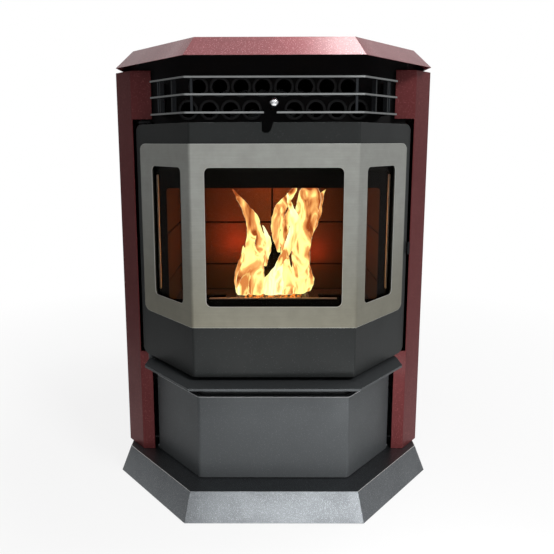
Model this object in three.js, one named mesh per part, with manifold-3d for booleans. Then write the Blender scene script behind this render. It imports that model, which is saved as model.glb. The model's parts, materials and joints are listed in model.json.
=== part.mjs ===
// A freestanding pellet stove with a bay front: three-sided glass door, ash drawer, warm-air grille
// and a sloped top with a hopper lid. Sizes are in millimetres, +X is right, +Y is back, +Z is up.
// Y is counted from the plinth's front foot; the last lines centre the stove on its footprint.
import * as THREE from 'three';
import { mergeVertices } from 'three/addons/utils/BufferGeometryUtils.js';
import Module from 'manifold-3d';

const wasm = await Module();
wasm.setup();

// ---- driving dimensions ----
const bayAngle = THREE.MathUtils.degToRad(50);
const gap = 0.3;
const sheet = 2;
const plate = 4;
const roundSteps = 12;
const tubeSteps = 10;

const plinthHeight = 52;
const plinthMargin = 10.8;
const plinthFacet = 152.6;
const plinthSlope = 19.2;
const plinthWall = 3;
const floorLift = 1.5;
const footRadius = 22;
const footThickness = 8;
const footStudRadius = 5;
const frontFootInset = 107.8;
const frontFootSetback = 130;
const rearFootInset = 50.8;
const rearFootSetback = 45;

const cabinetHalfWidth = 302;
const serviceDepth = 218;
const shoulderWidth = 36.7;
const shoulderRear = 219.8;
const panelTop = 803;
const upperFlange = 38.1;
const lowerFlange = 23.6;
const rearReturn = 20;
const panUpstand = 15;
const notchBottom = 261;
const notchTop = 714.6;
const louvreHalfWidth = 120;
const louvreRows = 10;
const louvreStart = 500;
const louvrePitch = 18;
const louvreHeight = 6;
const ventRows = 6;
const ventStart = 560;
const ventPitch = 16;
const ventHeight = 5;
const ventLength = 140;
const ventSetback = 200;

const coverInset = 12.1;
const coverFacet = 147;
const coverOverhang = 5.9;
const coverGap = 3.3;
const coverRise = 31.7;
const coverSlope = 30.9;

const doorSetback = 35.2;
const doorFrontInset = 160.2;
const doorFlangeGap = 3.6;
const doorSill = 1.3;
const doorHead = 10.3;
const doorSkirt = 22;
const doorCornerRadius = 12;
const doorOpeningInset = 83;
const doorOpeningBottom = 345;
const doorOpeningTop = 620;
const trimThickness = 1.7;
const trimBottom = 353;
const trimTop = 669.6;
const trimInset = 53.6;
const windowBottom = 390.9;
const windowTop = 630.2;
const frontWindowInset = 24.7;
const sideWindowStart = 25.5;
const sideWindowWidth = 96.3;
const windowRadius = 9;
const bendRadius = 9;
const bendSteps = 3;
const glassThickness = 4;
const glassLap = 9;
const glassSeat = 5;
const gasketThickness = 13;
const gasketWidth = 12;
const gasketGrip = 2;
const notchWidth = 19.7;
const notchCentre = -10.7;
const notchDepth = 17;
const pivotSideInset = 64;
const pivotInset = 10.5;
const pivotRadius = 4;
const pivotPad = 10;
const pivotGap = 2;
const pivotReach = 6;
const latchHeight = 470;
const latchHubRadius = 7;
const latchShaftRadius = 3;
const latchGasketGap = 5;
const latchProud = 3.4;
const latchBite = 2.8;
const strikeSheet = 2.2;
const strikeHalfHeight = 12;
const strikeFoot = 25;

const fireboxSideSpace = 76;
const fireboxDepth = 214;
const fireboxRoof = 800;
const ashSpace = 78;
const standWidth = 28;
const mouthInset = 21;
const facePlateMargin = 45;
const ashDropMargin = 20;
const ashDropSetback = 30;
const exhaustPortHalf = 18;
const exhaustPortHeight = 46;
const mouthBottom = 365;
const mouthTop = 585;
const hearthHeight = 340;
const brickThickness = 24;
const sideBrickThickness = 16;
const brickTop = 688;
const baffleFrontGap = 20;
const potHalfWidth = 71;
const potLength = 100;
const potSetback = 44;
const potRimHeight = 12;
const potDepth = 65;
const potTaper = 14;
const potFlange = 8;
const potWall = 3;
const potGap = 2;
const ashSlotGap = 30;
const ashSlotInset = 38;
const airHoleRadius = 3.5;
const airHolePitch = 18;
const igniterX = 20;
const igniterDrop = 40;
const igniterRadius = 5;
const igniterHex = 9;
const igniterTail = 28;

const tubeRadius = 16.5;
const tubeWall = 3;
const tubePitch = 40;
const tubeSideSpace = 66;
const upperTubeHeight = 774;
const lowerTubeHeight = 732;
const headerMargin = 30;
const headerRim = 9;
const rakeSetback = 14;
const rakeThickness = 3;
const scraperRodRadius = 4;
const scraperKnobRadius = 8.5;
const scraperHeight = 737;
const scraperKnobSetback = 42;

const grilleSetback = 38.8;
const grilleInset = 82.4;
const grilleFacet = 70.2;
const barHeights = [720.6, 749.9, 777.8];
const barThickness = 3;
const barDepth = 8;
const barGapStart = -17;
const barGapEnd = 4.5;
const stayWidth = 4;
const grilleArmInset = 16;

const drawerSetback = 63.8;
const drawerFrontInset = 163.7;
const drawerSideGap = 9.2;
const drawerTop = 212.7;
const drawerSheet = 2.5;
const drawerHem = 9;
const panSideSpace = 56;
const panRearGap = 12.5;
const panHeight = 130;
const panLift = 6;
const panSetback = 16;
const panArmX = 90;
const panArmHalf = 10;
const railWidth = 12;
const railThickness = 2;
const railHeight = 30;

const lipTop = 253.2;
const lipSetback = 3.7;
const lipFrontInset = 153.1;
const lipInset = 56.5;
const lipTipRadius = 7;
const lipGap = 2;
const lipRearGap = 16;
const valanceSetback = 14;
const valanceDrop = 18;

const hopperInset = 96;
const hopperSetback = 38;
const hopperRearGap = 12;
const hopperRim = 11;
const hopperStraight = 640;
const hopperThroat = 488;
const hopperWall = 3;
const throatHalf = 30;
const lidMargin = 16;
const lidThickness = 3;
const lidSkirt = 6;
const lidHingeSetback = 4;
const lidHingeLift = 6.2;
const lidHingeSpread = 140;
const lugSpread = 12;
const lidPinRadius = 2.4;
const lidEyeRadius = 5;
const lidGasketWidth = 6;
const handleHalfWidth = 50;
const handleThickness = 10;
const handleFingerGap = 20;
const handleBar = 6;

const augerRadius = 28;
const augerTilt = THREE.MathUtils.degToRad(45);
const augerPitch = 40;
const augerTopSetback = 53;
const augerMotorSpace = 73;
const augerTopHeight = 512;
const augerWall = 3;
const augerShaftRadius = 5.6;
const gearboxHalf = 25;
const gearboxLength = 34;
const augerCanRadius = 20;
const augerCanLength = 27;
const chuteHalfWidth = 25;
const chuteHeight = 60;
const chuteMouthHeight = 390;
const chuteOverhang = 10;
const chuteWall = 3;
const chuteRear = 40;

const flueRadius = 40;
const flueStub = 38;
const flueRise = 38;
const flueCollar = 18;
const spoutRadius = 35;
const exhaustX = -85;
const exhaustHeight = 190;
const exhaustRadius = 74;
const exhaustWidth = 76;
const exhaustSetback = 100;
const exhaustWall = 3;
const riserDepth = 46;
const motorShaftRadius = 4;
const wheelGap = 8;
const impellerWidth = 32;
const impellerBlade = 45;
const exhaustMotorRadius = 34;
const exhaustMotorLength = 58;
const intakeRadius = 25;
const intakeInset = 41;
const intakeDrop = 7;
const intakeStub = 24;
const roomFanInset = 116;
const roomFanHeight = 200;
const roomFanRadius = 78;
const roomFanWidth = 90;
const roomFanSetback = 96;
const roomMotorRadius = 36;
const roomMotorLength = 52;
const spoutMargin = 6;
const spoutDepth = 48;
const airMouthRadius = 45;
const plenumDepth = 22;
const plenumLift = 40;

const bezelWidth = 130;
const bezelHeight = 100;
const bezelThickness = 3;
const bezelMargin = 10;
const panelDrop = 113;
const panelSetback = 125;
const boardGap = 12;
const boardHalfLength = 54;
const boardHalfHeight = 42;
const windowLength = 72;
const windowHeight = 38;
const buttonSize = 12;
const buttonRow = 26;
const buttonColumn = 42;
const buttonPitch = 28;
const buttonProud = 2;
const socketInset = 102;
const socketHeight = 110;
const socketHalfWidth = 13.5;
const socketHalfHeight = 10.5;

// ---- values worked out from the driving dimensions ----
const baySlope = Math.tan(bayAngle);
const halfBend = Math.tan(bayAngle / 2);
const plinthHalfWidth = cabinetHalfWidth + plinthMargin;
const plinthHalfFront = plinthHalfWidth - plinthFacet;
const coverHalfWidth = cabinetHalfWidth - coverInset;
const coverHalfFront = coverHalfWidth - coverFacet;
const bendX = cabinetHalfWidth - shoulderWidth;
const flangeY = shoulderRear - shoulderWidth * baySlope;
const doorRear = flangeY - doorFlangeGap;
const doorHalfFront = cabinetHalfWidth - doorFrontInset;
const doorHalfWidth = doorHalfFront + (doorRear - doorSetback) / baySlope;
const doorBottom = notchBottom + doorSill;
const doorTop = notchTop - doorHead;
const doorWallTop = doorTop - doorSkirt;
const doorOpeningHalfWidth = cabinetHalfWidth - doorOpeningInset;
const trimHalfWidth = cabinetHalfWidth - trimInset;
const frontWindowHalfWidth = doorHalfFront - frontWindowInset;
const pivotX = pivotSideInset - cabinetHalfWidth;
const faceY = doorRear + gasketThickness + 2 * gap;
const fireboxRear = faceY + fireboxDepth;
const fireboxHalfWidth = cabinetHalfWidth - fireboxSideSpace;
const fireboxFloor = hearthHeight - ashSpace;
const mouthHalfWidth = fireboxHalfWidth - mouthInset;
const roomFanX = fireboxHalfWidth - roomFanInset;
const tubesPerRow = 2 * Math.floor((fireboxHalfWidth - tubeSideSpace) / tubePitch);
const cabinetRear = fireboxRear + serviceDepth + sheet;
const pivotY = doorRear - pivotInset;
const coverBottom = panelTop + coverGap;
const coverTop = coverBottom + coverRise;
const augerLength = (serviceDepth - augerTopSetback - augerMotorSpace) / Math.sin(augerTilt);
const hopperHalfWidth = cabinetHalfWidth - hopperInset;
const hopperFront = fireboxRear + hopperSetback;
const hopperRear = cabinetRear - sheet - hopperRearGap;
const grilleHalfWidth = cabinetHalfWidth - grilleInset;
const grilleHalfFront = grilleHalfWidth - grilleFacet;
const baseTop = plinthHeight + gap + sheet;
const drawerHalfWidth = bendX - lowerFlange - drawerSideGap;
const drawerHalfFront = cabinetHalfWidth - drawerFrontInset;
const panHalfWidth = fireboxHalfWidth - panSideSpace;
const lipHalfWidth = cabinetHalfWidth - lipInset;
const lipHalfFront = cabinetHalfWidth - lipFrontInset;
const lipBottom = lipTop - plate;

const paint = {
  burgundy: new THREE.MeshStandardMaterial({ color: 0x6b3038, roughness: 0.42, metalness: 0.35 }),
  charcoal: new THREE.MeshStandardMaterial({ color: 0x3c3f40, roughness: 0.55, metalness: 0.3 }),
  stoveBlack: new THREE.MeshStandardMaterial({ color: 0x1b1c1d, roughness: 0.75, metalness: 0.3 }),
  stainless: new THREE.MeshStandardMaterial({ color: 0x8f9188, roughness: 0.35, metalness: 1 }),
  barSteel: new THREE.MeshStandardMaterial({ color: 0x7c8080, roughness: 0.4, metalness: 0.8 }),
  galvanised: new THREE.MeshStandardMaterial({ color: 0x8d9294, roughness: 0.5, metalness: 0.9 }),
  chrome: new THREE.MeshStandardMaterial({ color: 0xd8dadc, roughness: 0.1, metalness: 1 }),
  glass: new THREE.MeshStandardMaterial({ color: 0x2a2420, roughness: 0.08, metalness: 0 }),
  rope: new THREE.MeshStandardMaterial({ color: 0xa9a59a, roughness: 0.95, metalness: 0 }),
  brick: new THREE.MeshStandardMaterial({ color: 0x7a3b26, roughness: 0.9, metalness: 0 }),
  castIron: new THREE.MeshStandardMaterial({ color: 0x2a2725, roughness: 0.85, metalness: 0.4 }),
  rubber: new THREE.MeshStandardMaterial({ color: 0x151515, roughness: 0.9, metalness: 0 }),
  blackPlastic: new THREE.MeshStandardMaterial({ color: 0x1d1e20, roughness: 0.45, metalness: 0 }),
  greyPlastic: new THREE.MeshStandardMaterial({ color: 0x9a9d9f, roughness: 0.5, metalness: 0 }),
  circuitBoard: new THREE.MeshStandardMaterial({ color: 0x1f5a3a, roughness: 0.6, metalness: 0 })
};

// ---- shaping helpers ----
function toSolid(geometry) {
  const bare = geometry.clone();
  bare.deleteAttribute('normal');
  bare.deleteAttribute('uv');
  const merged = mergeVertices(bare, 1e-4);
  return new wasm.Manifold(new wasm.Mesh({
    numProp: 3,
    vertProperties: new Float32Array(merged.attributes.position.array),
    triVerts: new Uint32Array(merged.index.array)
  }));
}

function toMesh(name, solid, material) {
  const data = solid.getMesh();
  const geometry = new THREE.BufferGeometry();
  geometry.setAttribute('position', new THREE.BufferAttribute(new Float32Array(data.vertProperties), 3));
  geometry.setIndex(new THREE.BufferAttribute(new Uint32Array(data.triVerts), 1));
  geometry.computeVertexNormals();
  const mesh = new THREE.Mesh(geometry, material);
  mesh.name = name;
  return mesh;
}

function joinAll(solids) {
  return solids.reduce((whole, next) => whole.add(next));
}

function box(x0, x1, y0, y1, z0, z1) {
  const geometry = new THREE.BoxGeometry(x1 - x0, y1 - y0, z1 - z0);
  geometry.translate((x0 + x1) / 2, (y0 + y1) / 2, (z0 + z1) / 2);
  return toSolid(geometry);
}

function prism(points, z0, z1) {
  const shape = new THREE.Shape(points);
  const geometry = new THREE.ExtrudeGeometry(shape, { depth: z1 - z0, bevelEnabled: false });
  geometry.translate(0, 0, z0);
  return toSolid(geometry);
}

// A shape drawn in X and Z, extruded along Y from y0 to y1.
function panelPrism(shape, y0, y1) {
  const settings = { depth: y1 - y0, bevelEnabled: false, curveSegments: 3 };
  const geometry = new THREE.ExtrudeGeometry(shape, settings);
  geometry.rotateX(Math.PI / 2);
  geometry.translate(0, y1, 0);
  return geometry;
}

// A box whose X limits may be given in either order.
function sideBox(xa, xb, y0, y1, z0, z1) {
  return box(Math.min(xa, xb), Math.max(xa, xb), y0, y1, z0, z1);
}

function roundedRectangle(x0, x1, z0, z1, radius) {
  const shape = new THREE.Shape();
  shape.moveTo(x0 + radius, z0);
  shape.lineTo(x1 - radius, z0);
  shape.absarc(x1 - radius, z0 + radius, radius, -Math.PI / 2, 0);
  shape.lineTo(x1, z1 - radius);
  shape.absarc(x1 - radius, z1 - radius, radius, 0, Math.PI / 2);
  shape.lineTo(x0 + radius, z1);
  shape.absarc(x0 + radius, z1 - radius, radius, Math.PI / 2, Math.PI);
  shape.lineTo(x0, z0 + radius);
  shape.absarc(x0 + radius, z0 + radius, radius, Math.PI, Math.PI * 1.5);
  return shape;
}

function rodAlongY(x, z, radius, y0, y1, steps = roundSteps) {
  const geometry = new THREE.CylinderGeometry(radius, radius, y1 - y0, steps);
  geometry.translate(x, (y0 + y1) / 2, z);
  return toSolid(geometry);
}

function rodAlongX(y, z, radius, x0, x1, steps = roundSteps) {
  const geometry = new THREE.CylinderGeometry(radius, radius, x1 - x0, steps);
  geometry.rotateZ(Math.PI / 2);
  geometry.translate((x0 + x1) / 2, y, z);
  return toSolid(geometry);
}

function rodAlongZ(x, y, radius, z0, z1, steps = roundSteps) {
  const geometry = new THREE.CylinderGeometry(radius, radius, z1 - z0, steps);
  geometry.rotateX(Math.PI / 2);
  geometry.translate(x, y, (z0 + z1) / 2);
  return toSolid(geometry);
}

// ---- the bay: a flat front with a facet on each side ----
function facetY(bay, x) {
  return bay.front + (Math.abs(x) - bay.halfFront) * baySlope;
}

function insetBay(bay, distance) {
  return {
    front: bay.front + distance,
    halfFront: bay.halfFront - distance * halfBend,
    halfSide: bay.halfSide - distance
  };
}

function bayOutline(bay, rear) {
  const shoulder = facetY(bay, bay.halfSide);
  return [
    new THREE.Vector2(-bay.halfSide, rear),
    new THREE.Vector2(-bay.halfSide, shoulder),
    new THREE.Vector2(-bay.halfFront, bay.front),
    new THREE.Vector2(bay.halfFront, bay.front),
    new THREE.Vector2(bay.halfSide, shoulder),
    new THREE.Vector2(bay.halfSide, rear)
  ];
}

function bendArc(bay, radius, offset) {
  const centreX = bay.halfFront - radius * halfBend;
  const centreY = bay.front + radius;
  const points = [];
  for (let i = 0; i <= bendSteps; i += 1) {
    const angle = -Math.PI / 2 + (bayAngle * i) / bendSteps;
    const reach = radius - offset;
    points.push(new THREE.Vector2(centreX + reach * Math.cos(angle), centreY + reach * Math.sin(angle)));
  }
  return points;
}

function mirrored(points) {
  return points.map((point) => new THREE.Vector2(-point.x, point.y)).reverse();
}

// A bay whose facets run straight back to a rear line, with rounded bends.
function wedgeOutline(bay, rear, radius) {
  const halfRear = bay.halfFront + (rear - bay.front) / baySlope;
  const half = [...bendArc(bay, radius, 0), new THREE.Vector2(halfRear, rear)];
  return [...half, ...mirrored(half)];
}

// Right half of a bent strip: a rounded bend, then a facet end that is cut square.
function halfStrip(bay, offset) {
  const endX = bay.halfSide - offset * Math.sin(bayAngle);
  const endY = facetY(bay, bay.halfSide) + offset * Math.cos(bayAngle);
  return [...bendArc(bay, bendRadius, offset), new THREE.Vector2(endX, endY)];
}

function bayStrip(bay, thickness, z0, z1) {
  const outer = halfStrip(bay, 0);
  const inner = halfStrip(bay, thickness);
  const half = [...outer, ...inner.slice().reverse()];
  return prism([...half, ...mirrored(half)], z0, z1);
}

// A body between two outlines with the same number of corners, one above the other.
function loft(lower, upper, z0, z1) {
  const count = lower.length;
  const positions = [];
  lower.forEach((point) => positions.push(point.x, point.y, z0));
  upper.forEach((point) => positions.push(point.x, point.y, z1));
  const faces = [];
  for (let i = 0; i < count; i += 1) {
    const next = (i + 1) % count;
    faces.push(i, next, count + next, i, count + next, count + i);
  }
  for (let i = 1; i < count - 1; i += 1) {
    faces.push(0, i + 1, i);
    faces.push(count, count + i, count + i + 1);
  }
  const geometry = new THREE.BufferGeometry();
  geometry.setAttribute('position', new THREE.BufferAttribute(new Float32Array(positions), 3));
  geometry.setIndex(faces);
  return toSolid(geometry);
}

function rectangle(x0, x1, y0, y1) {
  return [
    new THREE.Vector2(x0, y0),
    new THREE.Vector2(x1, y0),
    new THREE.Vector2(x1, y1),
    new THREE.Vector2(x0, y1)
  ];
}

// A rounded block lying in one of the bay's facets; start and end are measured from the bend.
function facetBlock(bay, side, start, end, z0, z1, radius, out, inwards) {
  const x0 = side > 0 ? start : -end;
  const x1 = side > 0 ? end : -start;
  const geometry = panelPrism(roundedRectangle(x0, x1, z0, z1, radius), -out, inwards);
  geometry.rotateZ(side * bayAngle);
  geometry.translate(side * bay.halfFront, bay.front, 0);
  return toSolid(geometry);
}

// ---- plinth, feet and cabinet ----
function plinthSkirt() {
  const foot = { front: 0, halfFront: plinthHalfFront, halfSide: plinthHalfWidth };
  const top = insetBay(foot, plinthSlope);
  const outer = loft(bayOutline(foot, cabinetRear), bayOutline(top, cabinetRear), floorLift, plinthHeight);
  const innerRear = cabinetRear - plinthWall;
  const hollow = loft(
    bayOutline(insetBay(foot, plinthWall), innerRear),
    bayOutline(insetBay(top, plinthWall), innerRear),
    floorLift - 1,
    plinthHeight - plinthWall
  );
  return outer.subtract(hollow);
}

function levellingFoot(x, y) {
  const pad = rodAlongZ(x, y, footRadius, 0, footThickness, 16);
  const stud = rodAlongZ(x, y, footStudRadius, footThickness - 1, plinthHeight - plinthWall - gap, 8);
  return pad.add(stud);
}

function basePan() {
  const clearance = 2;
  const half = cabinetHalfWidth - sheet - clearance;
  const front = shoulderRear + 3 * clearance;
  const rear = cabinetRear - 2 * sheet - 4 * gap;
  const floor = box(-half, half, front, rear, plinthHeight + gap, baseTop);
  const tongueHalf = bendX - lowerFlange - 2 * clearance;
  const tongueFront = flangeY + sheet + 5 * clearance;
  const tongue = box(-tongueHalf, tongueHalf, tongueFront, front + 1, plinthHeight + gap, baseTop);
  const upstands = [-1, 1].map((side) => {
    const edge = side * half;
    return sideBox(edge, edge - side * sheet, front, rear, baseTop - 1, baseTop + panUpstand);
  });
  return joinAll([floor, tongue, ...upstands, drawerRail(-1), drawerRail(1)]);
}

// One sheet bent four times: front flange, bay facet, side and rear return.
function sidePanel(side) {
  const flangeEnd = bendX - upperFlange;
  const rear = cabinetRear - sheet - gap;
  const innerBendX = bendX - sheet * halfBend;
  const innerShoulderY = shoulderRear + sheet * Math.tan((Math.PI / 2 - bayAngle) / 2);
  const outline = [
    new THREE.Vector2(flangeEnd, flangeY),
    new THREE.Vector2(bendX, flangeY),
    new THREE.Vector2(cabinetHalfWidth, shoulderRear),
    new THREE.Vector2(cabinetHalfWidth, rear),
    new THREE.Vector2(cabinetHalfWidth - rearReturn, rear),
    new THREE.Vector2(cabinetHalfWidth - rearReturn, rear - sheet),
    new THREE.Vector2(cabinetHalfWidth - sheet, rear - sheet),
    new THREE.Vector2(cabinetHalfWidth - sheet, innerShoulderY),
    new THREE.Vector2(innerBendX, flangeY + sheet),
    new THREE.Vector2(flangeEnd, flangeY + sheet)
  ].map((point) => new THREE.Vector2(side * point.x, point.y));
  const panel = prism(outline, plinthHeight + gap, panelTop);
  const cutEnd = innerBendX - (sheet * Math.sin(bayAngle)) / 2;
  const notch = sideBox(0, side * cutEnd, flangeY - 1, flangeY + sheet + gap, notchBottom, notchTop);
  const lowerEnd = bendX - lowerFlange;
  const lowerTrim = sideBox(0, side * lowerEnd, flangeY - 1, flangeY + sheet + gap, 0, notchBottom + 1);
  let shaped = panel.subtract(notch).subtract(lowerTrim);
  if (side > 0) {
    const cut = controlCentre();
    const halfLength = bezelWidth / 2 - bezelMargin;
    const halfHeight = bezelHeight / 2 - bezelMargin;
    shaped = shaped.subtract(box(
      cabinetHalfWidth - sheet - 1, cabinetHalfWidth + 1,
      cut.y - halfLength, cut.y + halfLength, cut.z - halfHeight, cut.z + halfHeight
    ));
  } else {
    const y0 = cabinetRear - ventSetback;
    for (let row = 0; row < ventRows; row += 1) {
      const z = ventStart + row * ventPitch;
      shaped = shaped.subtract(box(
        -cabinetHalfWidth - 1, -cabinetHalfWidth + sheet + 1, y0, y0 + ventLength, z, z + ventHeight
      ));
    }
  }
  return shaped;
}

function rearPanel() {
  const half = cabinetHalfWidth - gap;
  const y0 = cabinetRear - 2 * sheet;
  const y1 = cabinetRear + sheet;
  const panel = box(-half, half, cabinetRear - sheet, cabinetRear, plinthHeight + gap, coverBottom - 1);
  const socket = powerSocket();
  const holes = [
    rodAlongY(exhaustX, flueHeight(), flueRadius + 1, y0, y1, 20),
    rodAlongY(intakeX(), intakeHeight(), intakeRadius + 1, y0, y1, 16),
    box(
      socket.x - socketHalfWidth - gap, socket.x + socketHalfWidth + gap, y0, y1,
      socket.z - socketHalfHeight - gap, socket.z + socketHalfHeight + gap
    )
  ];
  for (let row = 0; row < louvreRows; row += 1) {
    const z = louvreStart + row * louvrePitch;
    holes.push(box(-louvreHalfWidth, louvreHalfWidth, y0, y1, z, z + louvreHeight));
  }
  return panel.subtract(joinAll(holes));
}

// ---- sloped top with the hopper opening ----
function hopperOpening() {
  return {
    half: hopperHalfWidth - hopperRim,
    front: hopperFront + hopperRim - 1,
    rear: hopperRear - hopperRim + 1
  };
}

function topCover() {
  const eaves = { front: -coverOverhang, halfFront: coverHalfFront, halfSide: coverHalfWidth };
  const ridge = insetBay(eaves, coverSlope);
  const rear = cabinetRear + sheet;
  const outer = loft(bayOutline(eaves, rear), bayOutline(ridge, rear), coverBottom, coverTop);
  const innerRear = rear - sheet;
  const eavesInside = insetBay(eaves, sheet + 2 * gap);
  const ridgeInside = insetBay(ridge, sheet);
  const hollow = loft(
    bayOutline(eavesInside, innerRear), bayOutline(ridgeInside, innerRear), coverBottom, coverTop - sheet
  );
  const mouth = prism(bayOutline(eavesInside, innerRear), coverBottom - 1, coverBottom + gap);
  const opening = hopperOpening();
  const hatch = box(
    -opening.half, opening.half, opening.front, opening.rear, coverTop - 2 * sheet, coverTop + 2 * sheet
  );
  const lugs = lidHingeX.flatMap((x) => [
    lidLug(x - lugSpread, plate, coverTop - 1),
    lidLug(x + lugSpread - plate, plate, coverTop - 1)
  ]);
  const pins = lidHingeX.map((x) => rodAlongX(
    lidAxisY(), lidAxisZ(), lidPinRadius, x - lugSpread - sheet, x + lugSpread + sheet, 12
  ));
  const body = outer.subtract(hollow).subtract(mouth).subtract(hatch);
  return joinAll([body, ...lugs, ...pins]);
}

const lidHingeX = [-lidHingeSpread, lidHingeSpread];

function lidAxisY() {
  return hopperOpening().rear + lidMargin + lidHingeSetback;
}

function lidAxisZ() {
  return coverTop + lidHingeLift;
}

function lidLug(start, width, z0) {
  const eye = rodAlongX(lidAxisY(), lidAxisZ(), lidEyeRadius + 0.4, start, start + width, 16);
  const y = lidAxisY();
  const foot = box(start, start + width, y - lidEyeRadius, y + lidEyeRadius, z0, lidAxisZ());
  return eye.add(foot);
}

function hopperLid() {
  const opening = hopperOpening();
  const x = opening.half + lidMargin;
  const y0 = opening.front - lidMargin;
  const y1 = opening.rear + lidMargin - sheet;
  const z1 = coverTop + gap + lidSkirt + lidThickness;
  const shell = box(-x, x, y0, y1, coverTop + gap, z1);
  const under = box(-x + sheet, x - sheet, y0 + sheet, y1 - sheet, coverTop - 1, z1 - lidThickness);
  const tabs = lidHingeX.map((hingeX) => {
    const start = hingeX - lugSpread + plate + gap;
    const width = 2 * (lugSpread - plate - gap);
    const eye = rodAlongX(lidAxisY(), lidAxisZ(), lidEyeRadius, start, start + width, 16);
    return eye.add(box(start, start + width, y1 - 1, lidAxisY(), lidAxisZ() - sheet, lidAxisZ() + sheet));
  });
  const bores = lidHingeX.map((hingeX) => rodAlongX(
    lidAxisY(), lidAxisZ(), lidPinRadius + gap, hingeX - 2 * lugSpread, hingeX + 2 * lugSpread, 12
  ));
  return joinAll([shell.subtract(under), ...tabs]).subtract(joinAll(bores));
}

function lidHandle() {
  const y = hopperOpening().front + handleThickness - sheet;
  const z = coverTop + 2 * gap + lidSkirt + lidThickness;
  const half = handleThickness / 2;
  const barBottom = z + handleFingerGap;
  const posts = [-1, 1].map((side) => {
    const x = side * (handleHalfWidth - half);
    return box(x - half, x + half, y - half, y + half, z, barBottom + 1);
  });
  const bar = box(-handleHalfWidth, handleHalfWidth, y - half, y + half, barBottom, barBottom + handleBar);
  return joinAll([...posts, bar]);
}

function lidGasket() {
  const opening = hopperOpening();
  const outer = lidGasketWidth + sheet;
  const ring = (grow, z0, z1) => box(
    -opening.half - grow, opening.half + grow, opening.front - grow, opening.rear + grow, z0, z1
  );
  return ring(outer, coverTop + gap, coverTop + lidSkirt - gap).subtract(
    ring(outer - lidGasketWidth, coverTop - 1, coverTop + 2 * lidSkirt)
  );
}

// ---- the three-sided door ----
const doorBay = { front: doorSetback, halfFront: doorHalfFront, halfSide: doorHalfWidth };

function windowBlocks(grow, depth) {
  const bottom = windowBottom - grow;
  const top = windowTop + grow;
  const radius = windowRadius + Math.max(grow, 0);
  const half = frontWindowHalfWidth + grow;
  const front = toSolid(panelPrism(
    roundedRectangle(-half, half, bottom, top, radius), doorSetback - depth, doorSetback + depth
  ));
  const start = sideWindowStart - grow;
  const end = sideWindowStart + sideWindowWidth + grow;
  const sides = [-1, 1].map((side) => facetBlock(
    doorBay, side, start, end, bottom, top, radius, depth, depth
  ));
  return joinAll([front, ...sides]);
}

function doorFrame() {
  const bend = bendRadius - gap - trimThickness;
  const outer = prism(wedgeOutline(doorBay, doorRear, bend), doorBottom, doorTop);
  const corners = toSolid(panelPrism(
    roundedRectangle(-doorHalfWidth, doorHalfWidth, doorBottom, doorTop, doorCornerRadius),
    doorSetback - 1, doorRear + 1
  ));
  const inside = insetBay(doorBay, plate);
  const hollow = wedgeOutline(inside, doorRear - plate, bend - plate);
  const chamber = prism(hollow, doorBottom + plate, doorWallTop - plate);
  const skirtSpace = prism(wedgeOutline(inside, doorRear + plate, bend - plate), doorWallTop, doorTop + 1);
  const back = toSolid(panelPrism(
    roundedRectangle(-doorOpeningHalfWidth, doorOpeningHalfWidth, doorOpeningBottom, doorOpeningTop, 8),
    doorRear - plate - 1, doorRear + 1
  ));
  const notchLeft = notchCentre - notchWidth / 2;
  const notchRight = notchCentre + notchWidth / 2;
  const notchFloor = doorTop - notchDepth;
  const notchShape = new THREE.Shape();
  notchShape.moveTo(notchLeft, doorTop + 1);
  notchShape.lineTo(notchLeft, notchFloor + 3);
  notchShape.lineTo(notchLeft + 4, notchFloor);
  notchShape.lineTo(notchRight - 9, notchFloor);
  notchShape.lineTo(notchRight - 5, notchFloor + 4);
  notchShape.lineTo(notchRight, doorTop + 1);
  const notch = toSolid(panelPrism(notchShape, doorSetback - 1, doorSetback + plate + 1));
  const pivotBore = rodAlongZ(pivotX, pivotY, pivotRadius + gap, doorBottom - 1, doorTop + 1, 16);
  const latchBore = rodAlongY(
    latchX(), latchHeight, latchShaftRadius + gap, doorRear - plate - 1, doorRear + 1, 12
  );
  return outer
    .intersect(corners)
    .subtract(chamber)
    .subtract(skirtSpace)
    .subtract(back)
    .subtract(notch)
    .subtract(pivotBore)
    .subtract(latchBore)
    .subtract(windowBlocks(glassLap - glassSeat, plate * 2));
}

function doorTrim() {
  const face = { front: doorSetback - gap - trimThickness, halfFront: 0, halfSide: trimHalfWidth };
  face.halfFront = doorHalfFront + (gap + trimThickness) * halfBend;
  const strip = bayStrip(face, trimThickness, trimBottom, trimTop);
  const corners = toSolid(panelPrism(
    roundedRectangle(-trimHalfWidth, trimHalfWidth, trimBottom, trimTop, doorCornerRadius),
    face.front - 1, doorRear + 1
  ));
  return strip.intersect(corners).subtract(windowBlocks(0, plate * 2));
}

function frontGlass() {
  const half = frontWindowHalfWidth + glassLap;
  const y0 = doorSetback + plate + gap;
  return box(-half, half, y0, y0 + glassThickness, windowBottom - glassLap, windowTop + glassLap);
}

function sideGlass(side) {
  const start = sideWindowStart - glassLap;
  const end = sideWindowStart + sideWindowWidth + glassLap;
  const depth = plate + gap;
  return facetBlock(
    doorBay, side, start, end, windowBottom - glassLap, windowTop + glassLap, 2,
    -depth, depth + glassThickness
  );
}

function doorGasket() {
  const outer = gasketGrip + gasketWidth;
  const ring = (grow, radius, y0, y1) => toSolid(panelPrism(
    roundedRectangle(
      -doorOpeningHalfWidth - grow, doorOpeningHalfWidth + grow,
      doorOpeningBottom - grow, doorOpeningTop + grow, radius
    ), y0, y1
  ));
  const y0 = doorRear + gap;
  const y1 = doorRear + gap + gasketThickness;
  return ring(outer, 16, y0, y1).subtract(ring(gasketGrip, 8, y0 - 1, y1 + 1));
}

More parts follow.
